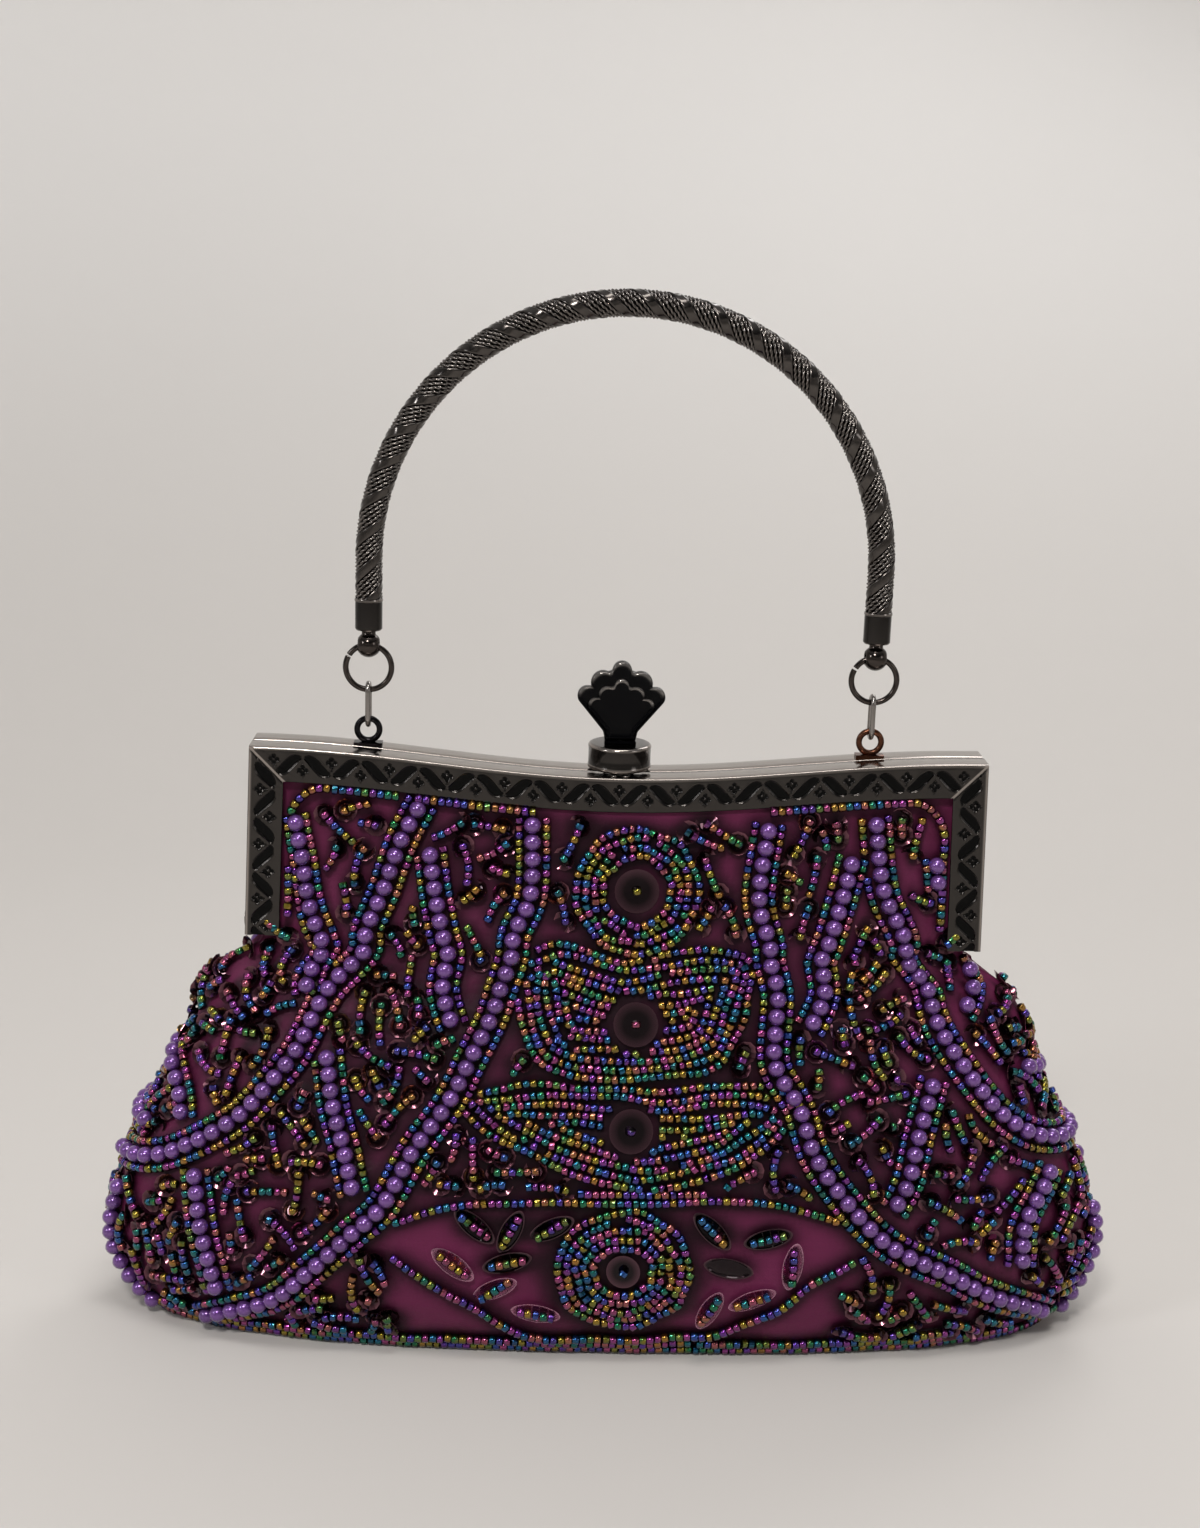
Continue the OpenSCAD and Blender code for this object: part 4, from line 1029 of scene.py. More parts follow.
# Grid of the cloth's sheets, and how far the outer sheet ends below the frame's top edge
CLOTH_COLS = 221
CLOTH_ROWS = 131
CLOTH_DROP = 2.2


def bag_side(name, back, inset, thick, material, low, drop, slot):
    """Front or back sheet of the bag from height low up into the frame. Its top edge follows the frame's
    outline, and its inner face is drawn in from the outer one."""
    u = np.linspace(-1, 1, CLOTH_COLS)[None]
    a = u * np.pi / 2
    v = np.linspace(0, 1, CLOTH_ROWS)[:, None]
    top = top_z(ARM_INNER_X * np.sin(a)) - drop
    z = low + v * (top - low)
    turned = a + np.pi if back else a
    outer = plain_cloth(turned, z, inset) if inset else cloth(turned, z)
    inner = plain_cloth(turned, z, inset + thick)
    points, quads = sheet_between(outer, inner)
    piece = build(name, points, quads, finish(material), sharp=80, shade=np.zeros(len(points)))
    if back:
        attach(piece, "rear")
    else:
        blend_at_hinge(piece)
    return piece


def bag_floor(name, z, inset, thick, material):
    """Flat floor of the bag: straight lines across from the front's outline to the back's."""
    a = np.linspace(-1, 1, 121) * np.pi / 2
    front = plain_cloth(a, z, inset)
    rear = front * [1, -1, 1]
    v = np.linspace(0, 1, 12)[:, None, None]
    top = front[None] * (1 - v) + rear[None] * v
    points, quads = sheet_between(top, top + [0, 0, thick])
    return build(name, points, quads, finish(material), "rear")


def gusset(name, side):
    """Pleat that closes the slit beside the hinge: it spans from the rear sheet's edge to the front's and
    folds inwards between them."""
    z = np.linspace(POUCH_TOP - 3, HINGE_Z + 1, 24)[:, None]
    across = np.linspace(-1, 1, 17)[None]
    thick = 0.7
    edge = CLOTH_Y * ease(z, POUCH_TOP, HINGE_Z)
    fold = 1.1 * edge * (1 - np.abs(across)) ** 0.85
    x = smooth(WIDTHS, z) - 0.35 - fold
    y = across * np.maximum(edge - 0.2, 0.02)
    outer = np.stack(np.broadcast_arrays(side * x, y, z), -1)
    points, quads = sheet_between(outer, outer - [side * thick, 0, 0])
    piece = build(name, points, quads, finish("Plum satin"), sharp=80)
    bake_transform(piece)
    return piece


# Beadwork


def outline_shape(outline, profile):
    """Points and faces of one small shape facing z: the outline stacked by a profile of (scale, height)."""
    points = stacked(outline, profile).reshape(-1, 3)
    quads = grid(len(profile), len(outline), closed_cols=True)
    return points, quads, ring_ends(len(profile), len(outline))


def turned_bead(profile, sides):
    """Points and faces of one small bead whose axis is x, from a profile of (radius, place on the axis)."""
    points, quads, caps = outline_shape(circle(sides), profile)
    return points[:, [2, 0, 1]], quads, caps


def seed_shape():
    """Seed bead: a short round-edged cylinder along the string."""
    r = props("beads").seed_diameter / MM / 2
    half = props("beads").seed_pitch / MM / 2
    profile = [(0.62, -0.94), (0.95, -0.74), (1, 0), (0.95, 0.74), (0.62, 0.94)]
    return turned_bead([(share * r, at * half) for share, at in profile], 9)


def pearl_shape():
    """Pearl: a ball flattened a little where the string enters."""
    r = props("beads").pearl_diameter / MM / 2
    angles = np.radians([13, 40, 66, 90, 114, 140, 167])
    return turned_bead([(r * math.sin(t), -r * 0.985 * math.cos(t)) for t in angles], 12)


def cup_shape(diameter, deep, sides):
    """Round sequin facing z: a thin faceted dish with a small hole, as one closed profile turned round."""
    r = diameter / 2
    hole = 0.45
    thick = 0.12
    bend = 0.55 * r
    profile = [
        (hole, -deep), (bend, -deep + 0.05), (r, 0.0),
        (r, -thick), (bend, -deep - 0.1), (hole, -deep - thick),
    ]
    points = stacked(circle(sides), profile).reshape(-1, 3)
    return points, grid(len(profile), sides, closed_cols=True, closed_rows=True), []


def leaf_shape():
    """Leaf sequin facing z: a pointed oval dish 12.5 mm long, with a raised rim, closed below."""
    half_l, half_w = 6.25, 2.6
    cosine, sine = circle(28).T
    outline = np.stack([half_l * cosine, half_w * np.sign(sine) * np.abs(sine) ** 1.1], -1)
    upper = [(0.02, -0.32), (0.6, -0.3), (0.8, -0.14), (0.88, 0.1)]
    lower = [(1.0, 0.02), (0.97, -0.14), (0.6, -0.42), (0.02, -0.44)]
    return outline_shape(outline, upper + lower)


def rim_share(points, columns, low, high):
    """How far each point of a shape lies in its rim: its reach, as a share of the most, along the axes of
    those columns."""
    share = points[:, columns] / np.abs(points[:, columns]).max(0)
    return ease(np.sqrt((share**2).sum(1)), low, high)


def copies(name, shape, places, axes, material, hue, shade, rim, sizes, sharp):
    """One mesh with a copy of the shape at each place, turned to its axes, whose rows are x, y and z. hue,
    shade and sizes have a value for each copy, and rim one for each point of the shape. Beads and pearls
    get painted shade underneath and at their rim, on top of the copy's own random shade. Sequins keep
    their rim, which their finish paints as a glint."""
    points, quads, caps = shape
    count = len(places)
    scaled = np.broadcast_to(points[None], (count,) + points.shape)
    if sizes is not None:
        scaled = scaled * sizes[:, None]
    moved = np.einsum("nvk,nkj->nvj", scaled, axes) + places[:, None]
    base = (np.arange(count) * len(points))[:, None, None]
    all_quads = (np.asarray(quads)[None] + base).reshape(-1, 4)
    all_caps = [[i + n * len(points) for i in cap] for n in range(count) for cap in caps]
    values = {"hue": np.repeat(hue, len(points))}
    if material in ("Rainbow seed beads", "Purple pearl"):
        # Painted shade: the underside of each bead and pearl and the ends of a seed are darkened
        offset = (moved - places[:, None]) / np.abs(points).max()
        under = 0.62 * ease(-offset[..., 2], -0.25, 0.9)
        ends = 0 if rim is None else 0.8 * rim[None]
        values["shade"] = np.clip(np.maximum(under, ends) + shade[:, None], 0, 1)
    else:
        values["rim"] = np.tile(rim, count)
    return build(name, moved, all_quads, finish(material), caps=all_caps, sharp=sharp, **values)


class Beadwork:
    """Beads of one side of the bag, gathered by kind. turned is 0 for the front and 1 for the back, which
    repeats the design half a turn round, with sprigs of its own."""

    def __init__(self, turned, seed):
        self.turned = turned
        self.random = np.random.default_rng(seed)
        # Places and axes by kind, the spots round which shade is painted on the satin, and the places taken
        self.kinds = {}
        self.marks = []
        self.taken = np.zeros((0, 3))

    def add(self, kind, a, z, move, lift, room, tilt, shades=True):
        """Adds pieces at a and z, their x axes along move, tilted at random by about tilt degrees, unless a
        piece taken is within room, if it isn't 0. If shades is set, shade is painted on the satin beside
        them."""
        places = cloth(a, z, lift)
        normal = directions(a, z)[2]
        along = move.reshape(-1, 3)
        along = unit(along - (along * normal).sum(-1, keepdims=True) * normal)
        wobble = self.random.normal(size=along.shape) * math.radians(tilt)
        along = unit(along + np.cross(wobble, along))
        normal = normal + np.cross(wobble, normal)
        normal = unit(normal - (along * normal).sum(-1, keepdims=True) * along)
        free = self.distance(places) > room if room else np.full(len(places), True)
        axes = np.stack([along, np.cross(normal, along), normal], 1)
        self.kinds.setdefault(kind, []).append((places[free], axes[free]))
        # How strongly each kind paints shade on the satin beside it
        weight = {"seed": 1, "cup": 4, "pearl": 3, "dark_leaf": 6}.get(kind, 0)
        self.marks += [(a[free], z[free])] * (weight * shades)
        return places[free]

    def distance(self, places):
        """Distance from each place to the nearest piece taken."""
        if not len(self.taken):
            return np.full(len(places), 1e9)
        return np.linalg.norm(places[:, None] - self.taken[None], axis=-1).min(1)

    def take(self, places):
        """Keeps these places from later pieces."""
        self.taken = np.concatenate([self.taken, places])

    def line(self, a, z, pitch, kind, lift, room, closed=False, tilt=5.0, offset=0.0, jitter=0.12):
        """Pieces at an even pitch along the dense line a, z on the cloth, set off sideways by offset."""
        if offset:
            along = unit(np.gradient(cloth(a, z), axis=0))
            a, z = walk(a, z, np.cross(directions(a, z)[2], along) * offset)
            z = np.clip(z, 0.6, FRAME_TOP)
        path = cloth(a, z, lift)
        run = np.concatenate([[0], np.cumsum(np.linalg.norm(np.diff(path, axis=0), axis=1))])
        count = max(1, round(run[-1] / pitch))
        at = (np.arange(count) + (0.0 if closed else 0.5)) * run[-1] / count
        at_a, at_z = (np.interp(at, run, values) for values in (a, z))
        reach = 0.4
        ahead, behind = (
            np.stack([np.interp(spot, run, path[:, k]) for k in range(3)], -1)
            for spot in (at + reach, at - reach)
        )
        heights = lift + self.random.normal(size=count) * jitter * 0.6
        self.take(self.add(kind, at_a, at_z, ahead - behind, heights, room, tilt))


def through(control, steps, slack):
    """Dense points through the control points but the first and last, by cubics whose slope at each is the
    chord of its neighbours divided by slack."""
    u = np.linspace(0, 1, steps, endpoint=False)[:, None]
    spans = zip(control, control[1:], control[2:], control[3:])
    return np.concatenate(
        [cubic(u, p1, (p2 - p0) / slack, p2, (p3 - p1) / slack) for p0, p1, p2, p3 in spans]
    )


def spline(points):
    """Dense a, z line through control points given as x, z, which runs straight on at both ends."""
    points = np.array(points, float)
    mm_per_radian = 70
    control = np.stack([angle_at(points[:, 0], points[:, 1]) * mm_per_radian, points[:, 1]], -1)
    control = np.concatenate([2 * control[:1] - control[1:2], control, 2 * control[-1:] - control[-2:-1]])
    line = np.concatenate([through(control, 24, 2), control[-2:-1]])
    return line[:, 0] / mm_per_radian, np.clip(line[:, 1], 0.8, FRAME_TOP)


# Pearl strings, as x and height on the front, each with the sides on which a seed line runs beside it
PEARL_STRINGS = [
    ([(-79, 133), (-77, 122), (-75, 110), (-74, 94), (-75, 88)], (-1, 1)),
    (
        [(-48, 137), (-53, 127), (-57, 115), (-61, 104), (-66, 94), (-75, 80), (-82, 69), (-92, 58)]
        + [(-104, 50), (-114, 45), (-122, 42)],
        (-1, 1),
    ),
    ([(-46, 126), (-44, 113), (-41, 98), (-39, 83)], (-1, 1)),
    (
        [(-21, 134), (-21, 115), (-25, 104), (-29, 88), (-35, 75), (-40, 65), (-48, 54), (-55, 41), (-63, 33)]
        + [(-73, 23), (-84, 13), (-101, 5)],
        (-1, 1),
    ),
    ([(-70, 76), (-68, 64), (-65, 54), (-62, 43)], (-1, 1)),
    ([(-112, 72), (-109, 68), (-107, 62), (-106, 55)], (1,)),
    ([(-102, 45), (-101, 37), (-98, 23), (-96, 14)], (-1, 1)),
    ([(-113, 4), (-119, 9), (-124, 18), (-124, 28), (-122, 36)], (1,)),
    (
        [(37, 134), (35, 115), (38, 101), (40, 87), (40, 76), (46, 66), (50, 55), (58, 44), (69, 33)]
        + [(84, 25), (97, 17), (113, 8)],
        (-1, 1),
    ),
    ([(58, 126), (55, 113), (51, 98), (48, 84)], (-1, 1)),
    ([(63, 136), (66, 117), (72, 102), (80, 86), (88, 73), (100, 60), (112, 54), (121, 52)], (-1, 1)),
    ([(80, 72), (76, 58), (74, 48), (70, 41)], (-1, 1)),
    ([(78.6, 126), (79.6, 117.5)], (-1,)),
    ([(88, 98.5), (90, 92), (87, 86)], (1,)),
    ([(111, 48), (106, 39), (104, 33), (104, 24)], (-1, 1)),
    ([(117, 6), (123, 15), (125, 25), (123, 35)], (-1,)),
]

# Seed lines on their own: bands round the lower leaves, and the hem
SEED_LINES = [
    [(-56, 35), (-51, 37), (-39, 41), (-16, 43), (9, 43), (33, 44), (53, 40), (63, 35)],
    [(-8, 45.4), (8, 45.2), (24, 45.6)],
    [(-53, 28), (-41, 20), (-32, 15), (-20, 7), (0, 6), (24, 7), (34, 11), (43, 16), (50, 22), (61, 29)],
    [(-14, 4.4), (4, 4.2), (22, 4.6)],
]

# Leaf sequins: x, height, slant in degrees, whether clear, and whether seeds lie on it
LEAVES = [
    (-32.7, 36.5, -35, 0, 1), (-23.8, 35.6, 62, 0, 1), (-13.8, 36.6, 32, 0, 1), (-24.5, 27.6, 14, 0, 1),
    (-37.8, 26.6, -36, 1, 1), (-27.3, 20.6, 36, 1, 1), (-17.2, 14.4, -8, 1, 1), (25.5, 36.6, -46, 0, 1),
    (29.8, 27.5, -10, 0, 0), (39.4, 34.6, 12, 0, 1), (45.8, 27.4, 88, 1, 1), (36.1, 18.8, 20, 1, 1),
    (25.6, 16.4, 62, 1, 1),
]

# Medallions up the middle: outline as x and height, and the place of the large sequin
LOBES = [
    (
        [(-22, 100), (-15, 103.2), (-6, 101.5), (3, 99.4), (12, 101.2), (22, 102.4), (32, 101.4), (34, 97)]
        + [(32.5, 90), (30.5, 83), (27, 77), (19, 73.4), (5, 72), (-10, 72.6), (-18, 76), (-22, 84)]
        + [(-23.5, 93)],
        (5.5, 85),
    ),
    (
        [(-37, 66), (-25, 69.6), (-10, 70), (5, 69.6), (20, 70), (35, 71), (46, 67), (41, 59), (29, 51.4)]
        + [(8, 46.6), (-12, 51), (-28, 58)],
        (5, 60),
    ),
]
# Round ones: middle, radius, how much they are squashed, and the large sequin with its radius
ROUNDS = [((5, 116.5), 15.0, 1.0, "disc", 5.5), ((4, 26), 16.2, 0.93, "small_disc", 4.2)]


def closed_rows(work, outline, hole, hole_r, spacing):
    """Rows of seeds inside a closed outline of x and height: the outline drawn in by whole steps, leaving
    out what comes too near the outline on its far side or the sequin."""
    pitch = props("beads").seed_pitch / MM
    fewest = 6
    edge = np.roll(outline, -1, axis=0) - np.roll(outline, 1, axis=0)
    inward = unit(np.stack([-edge[:, 1], edge[:, 0]], -1))
    if ((outline.mean(0) - outline) * inward).sum() < 0:
        inward = -inward
    inset = 0.0
    turn = np.linspace(0, 2 * np.pi, len(outline), endpoint=False)[:, None]
    waves = np.arange(3, 11)
    while True:
        # Each row wanders a little, as sewn by hand
        sway = np.sin(waves * turn + work.random.uniform(0, 2 * np.pi, len(waves))).sum(1) * 0.13
        row = outline + (inset + sway[:, None]) * inward
        gap = np.linalg.norm(row[:, None] - outline[None], axis=-1).min(1)
        clear = (gap > inset - 0.9) & (np.linalg.norm(row - hole, axis=1) > hole_r)
        if clear.sum() < fewest:
            return
        # The row is laid in unbroken stretches, so that none crosses the sequin
        first = 0 if clear.all() else int(np.argmin(clear))
        row = np.roll(row, -first, axis=0)
        clear = np.roll(clear, -first)
        for part in np.split(np.arange(len(row)), np.flatnonzero(np.diff(clear.astype(int))) + 1):
            if not clear[part[0]] or len(part) < fewest:
                continue
            closed = clear.all()
            x, z = (np.concatenate([row[part], row[part[:1]]]) if closed else row[part]).T
            work.line(angle_at(x, z), z, pitch, "seed", 1.12, pitch * 0.9, closed=closed, tilt=15, jitter=0.4)
        inset += spacing


def infill(work, outline, hole, hole_r):
    """Seeds in the gaps that the rows leave inside a closed outline, pointing any way. A spot is inside
    where a ray from it to the right crosses the outline an odd number of times."""
    lift = 1.12
    room = 1.85
    spots = work.random.uniform(outline.min(0), outline.max(0), (2500, 2))
    end = np.roll(outline, -1, axis=0)
    x, z = outline.T
    crossed = (z > spots[:, 1:]) != (end[:, 1] > spots[:, 1:])
    at = x + (spots[:, 1:] - z) / (end[:, 1] - z + 1e-12) * (end[:, 0] - x)
    inside = (crossed & (spots[:, :1] < at)).sum(1) % 2 == 1
    spots = spots[inside & (np.linalg.norm(spots - hole, axis=1) > hole_r)]
    a, z = angle_at(spots[:, 0], spots[:, 1]), spots[:, 1]
    places = cloth(a, z, lift)
    around, upward, _ = directions(a, z)
    turn = work.random.uniform(0, 2 * np.pi, (len(a), 1))
    moves = unit(around) * np.cos(turn) + upward * np.sin(turn)
    for i in range(len(a)):
        some = slice(i, i + 1)
        if work.distance(places[some])[0] > room:
            work.take(work.add("seed", a[some], z[some], moves[some], lift, 0, 10))


def flat_place(work, kind, x, z, slant, lift, tilt):
    """One flat piece at x and z, its long axis slanted from the horizontal by that many degrees. Returns
    its a and z, and that axis."""
    a = angle_at(np.array([x]), np.array([z]))
    z = np.array([float(z)])
    side, rise = side_and_rise(a, z)
    move = side * math.cos(math.radians(slant)) + rise * math.sin(math.radians(slant))
    work.add(kind, a, z, move, lift, 0, tilt)
    return a, z, move


def large_sequin(work, kind, x, z, radius):
    """A large flat sequin held by a seed, and the room that it takes."""
    flat_place(work, kind, x, z, 0, 0.9, 2.5)
    flat_place(work, "seed", x, z, 80, 1.9, 20)
    edge = circle(12) * radius + [x, z]
    work.take(cloth(angle_at(edge[:, 0], edge[:, 1]), edge[:, 1], 1.1))


def medallions(work):
    """The stacked medallions and the large sequins in their middles."""
    spacing = props("beads").seed_diameter / MM - 0.13
    for centre, radius, squash, kind, sequin_r in ROUNDS:
        large_sequin(work, kind, *centre, sequin_r - 1.6)
        outline = circle(160) * [radius, radius * squash] + centre
        closed_rows(work, outline, np.array(centre), sequin_r + 1.1, spacing)
    for points, hole in LOBES:
        large_sequin(work, "disc", *hole, 4)
        line = np.array(points, float)
        outline = through(np.concatenate([line[-1:], line, line[:2]]), 16, 2.6)
        closed_rows(work, outline, np.array(hole), 6.7, spacing)
        infill(work, outline, np.array(hole), 6.6)


def rim_line(work):
    """Seeds along the lower edge of the frame's band and down both arms, broken over the medallions."""
    pitch = props("beads").seed_pitch / MM
    below_top = 9.8
    for side, stop in ((-1, 20.0), (1, 37.0)):
        top_x = np.linspace(73, stop, 12)
        x = np.concatenate([np.full(5, HALF_W - 9.6), [79.4, 76.5], top_x])
        z = np.concatenate([np.linspace(107, 130, 5), [134.6, 138.2], top_z(top_x) - below_top])
        a, z = spline(np.stack([side * x, z], -1))
        work.line(a, z, pitch, "seed", 1.9, pitch * 0.8)


def hem(work):
    """Rows of seeds round the edge of the base: two in the middle, and a third towards the left."""
    pitch = props("beads").seed_pitch / MM
    for height, start, end in ((2.1, -88, 88), (4.3, -60, 60), (4.3, -86, -68)):
        a = np.radians(np.linspace(start, end, 700))
        work.line(a, np.full(len(a), height), pitch, "seed", 1.0, pitch * 0.8)


def strings(work):
    """Pearl strings with seed lines beside them, then the single seed lines."""
    beads = props("beads")
    pitch = beads.seed_pitch / MM
    pearl = beads.pearl_pitch / MM
    beside = (beads.pearl_diameter + beads.seed_diameter) / MM / 2 - 0.05
    lines = [(spline(points), sides) for points, sides in PEARL_STRINGS]
    for (a, z), _ in lines:
        work.line(a, z, pearl, "pearl", 1.95, pearl * 0.86, tilt=2, jitter=0.08)
    for (a, z), sides in lines:
        for side in sides:
            work.line(a, z, pitch, "seed", 1.1, pitch * 0.9, offset=side * beside)
    for points in SEED_LINES:
        a, z = spline(points)
        work.line(a, z, pitch, "seed", 1.1, pitch * 0.8)


def leaves(work):
    """Leaf sequins between the lower bands, with a short row of seeds on each."""
    pitch = 1.9
    for x, z, slant, clear, strung in LEAVES:
        a, z, move = flat_place(work, "clear_leaf" if clear else "dark_leaf", x, z, slant, 1.05, 4)
        for step in np.arange(-2, 3) * pitch if strung else ():
            work.take(work.add("seed", *walk(a, z, move * step), move, 1.8, 1.5, 6, shades=not clear))


def open_satin(x, z):
    """True where sprigs may lie: inside the outline, below the frame and off the leaves' smooth satin."""
    on_bag = np.abs(x) < smooth(WIDTHS, z) - 0.1
    leaves_free = (np.abs(x - 4) > 57) | (z < 4) | (z > 46)
    below_frame = (z < HINGE_Z) | ((np.abs(x) < HALF_W - 11) & (z < top_z(x) - 12))
    return on_bag & leaves_free & below_frame


def sprigs(work, pitch_x, pitch_z, clear):
    """Scattered sprigs: up to six seeds in a short bent row with a cup sequin under one or both ends. On
    a jittered lattice, each takes the longest free run out of several random headings."""
    random = work.random
    pitch = props("beads").seed_pitch / MM
    closer = 0.98
    headings = 12
    seats = 6
    count = headings * seats
    fewest = 3
    nearby = 16
    xs, zs = np.meshgrid(np.arange(-124, 125, pitch_x), np.arange(6.5, 136, pitch_z))
    xs[1::2] += pitch_x / 2
    lattice = np.stack([xs.ravel(), zs.ravel()], -1) + random.uniform(-1.6, 1.6, (xs.size, 2))
    # Two columns more lie round each side seam
    seam_z = np.arange(8, 84, pitch_z * 0.8)
    for turned in (-1.49, -1.38, 1.38, 1.49):
        seam_x = np.sign(turned) * smooth(WIDTHS, seam_z) * np.abs(np.sin(turned)) ** 0.8
        lattice = np.concatenate([lattice, np.stack([seam_x, seam_z], -1)])
    lattice = lattice[open_satin(lattice[:, 0], lattice[:, 1])]
    lattice = lattice[random.permutation(len(lattice))]
    for x, z in lattice:
        a0 = angle_at(np.array([x]), np.array([z]))
        z0 = np.array([z])
        side, rise = side_and_rise(a0, z0)
        steps = (np.arange(seats) - (seats - 1) / 2)[None]
        bend = random.uniform(-0.18, 0.18, (headings, 1))
        heading = random.uniform(0, 2 * np.pi, (headings, 1)) + bend * steps
        moves = side * np.cos(heading)[..., None] + rise * np.sin(heading)[..., None]
        spots = (np.cumsum(moves, axis=1) - moves[:, :3].sum(1, keepdims=True)) * pitch * closer
        spots, moves = spots.reshape(-1, 3), moves.reshape(-1, 3)
        a, zz = walk(np.repeat(a0, count), np.repeat(z0, count), spots)
        places = cloth(a, zz, 1.1)
        near = work.taken[np.linalg.norm(work.taken - places.mean(0), axis=1) < nearby]
        gaps = np.linalg.norm(places[:, None] - near[None], axis=-1).min(1, initial=nearby)
        below_frame = (zz < HINGE_Z) | (zz < top_z(x) - 11.5)
        free = (gaps > clear) & (zz > 5.5) & (np.abs(a) < np.pi / 2) & below_frame
        free = free.reshape(headings, seats)
        run = np.zeros(headings, int)
        stop = np.zeros(headings, int)
        best = np.zeros(headings, int)
        for seat in range(seats):
            run = np.where(free[:, seat], run + 1, 0)
            stop = np.where(run > best, seat + 1, stop)
            best = np.maximum(best, run)
        pick = int(np.argmax(best))
        if best[pick] < fewest:
            continue
        chosen = pick * seats + np.arange(stop[pick] - best[pick], stop[pick])
        placed = work.add("seed", a[chosen], zz[chosen], moves[chosen], 1.5, 0, 9)
        for end in chosen[[0, -1]] if random.uniform() < 0.6 else chosen[:1]:
            if gaps[end] > 2.9:
                work.add("cup", a[[end]], zz[[end]], moves[[end]], 0.95, 0, 15)
        work.take(placed)


def loose_cups(work, tries):
    """Single cup sequins with a seed in the middle, in what gaps are left."""
    room = 3.3
    spots = work.random.uniform((-122, 6), (122, 134), (tries, 2))
    spots = spots[open_satin(spots[:, 0], spots[:, 1])]
    a, z = angle_at(spots[:, 0], spots[:, 1]), spots[:, 1]
    places = cloth(a, z, 1.1)
    moves = directions(a, z)[0]
    for i in range(len(a)):
        some = slice(i, i + 1)
        if work.distance(places[some])[0] > room:
            work.add("cup", a[some], z[some], moves[some], 0.95, 0, 18)
            work.take(work.add("seed", a[some], z[some], moves[some], 1.5, 0, 25))


def painted_bead_shadow(work, cloth_piece):
    """Paints shade on the satin next to the beads: beads are counted in the cells of the cloth's grid, the
    counts are blurred by a bell curve, and what is left of the light falls off with them."""
    a, z = np.concatenate(work.marks, axis=1)
    row = z / (top_z(ARM_INNER_X * np.sin(a)) - CLOTH_DROP) * (CLOTH_ROWS - 1)
    col = (np.clip(a / np.pi, -0.5, 0.5) + 0.5) * (CLOTH_COLS - 1)
    edges = [np.arange(cells + 1) - 0.5 for cells in (CLOTH_ROWS, CLOTH_COLS)]
    counts, _, _ = np.histogram2d(row, col, edges)
    blur = 1.5
    kernel = np.exp(-np.arange(-4, 5) ** 2 / (2 * blur**2))
    for axis in (0, 1):
        counts = np.apply_along_axis(np.convolve, axis, counts, kernel, "same")
    outer = 1 - np.exp(-0.75 * counts)
    values = np.concatenate([outer.ravel(), np.zeros(outer.size)]).astype(np.float32)
    cloth_piece.data.attributes["shade"].data.foreach_set("value", values)


def gather(work, side):
    """Makes the side's pieces from what was placed. Strings, medallions and sprigs share one kind each."""
    random = work.random
    sequin = props("beads").sequin_diameter / MM
    most_faces = 190000
    # Shape, material, and the angle in degrees over which an edge stays sharp
    shapes = {
        "seed": (seed_shape(), "Rainbow seed beads", 60),
        "pearl": (pearl_shape(), "Purple pearl", 60),
        "cup": (cup_shape(sequin, 0.75, 10), "Cup sequin", 24),
        "disc": (cup_shape(11.0, 0.15, 24), "Dark sequin", 60),
        "small_disc": (cup_shape(8.4, 0.15, 24), "Dark sequin", 60),
        "dark_leaf": (leaf_shape(), "Dark sequin", 24),
        "clear_leaf": (leaf_shape(), "Clear sequin", 24),
    }
    for kind, kept in work.kinds.items():
        places, axes = (np.concatenate(arrays) for arrays in zip(*kept))
        if work.turned:
            places = places * [-1, -1, 1]
            axes = axes * [-1, -1, 1]
        shape, material, sharp = shapes[kind]
        points, quads, caps = shape
        limit = most_faces // (2 * len(quads) + 2 * sum(len(c) - 2 for c in caps))
        rim = None
        sizes = None
        if kind == "seed":
            # The ends count as its rim, which gets painted shade, and seeds vary in length and girth
            rim = rim_share(points, [0], 0.8, 1.0)
            sizes = np.clip(1 + random.normal(size=(len(places), 3)) * [0.07, 0.035, 0.035], 0.84, 1.1)
        elif kind != "pearl":
            # A sequin's rim, which its finish paints as a glint
            rim = rim_share(points, [0, 1], 0.87, 0.98)
        for part, start in enumerate(range(0, len(places), limit)):
            some = slice(start, start + limit)
            count = len(places[some])
            piece = copies(
                f"{side}_{kind}s_{part + 1}", shape, places[some], axes[some], material,
                hue=random.uniform(0, 1, count), shade=0.3 * random.uniform(0, 1, count) ** 2, rim=rim,
                sizes=None if sizes is None else sizes[some], sharp=sharp,
            )
            if work.turned:
                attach(piece, "rear")
            else:
                blend_at_hinge(piece)


def bead_side(side, turned):
    """All the beadwork of one side."""
    work = Beadwork(turned, props("beads").seed + turned)
    strings(work)
    medallions(work)
    rim_line(work)
    hem(work)
    leaves(work)
    sprigs(work, 9.4, 8.8, 2.75)
    sprigs(work, 6.0, 5.6, 3.0)
    loose_cups(work, 500)
    painted_bead_shadow(work, bpy.data.objects[side + "_cloth"])
    gather(work, side)


# Operators


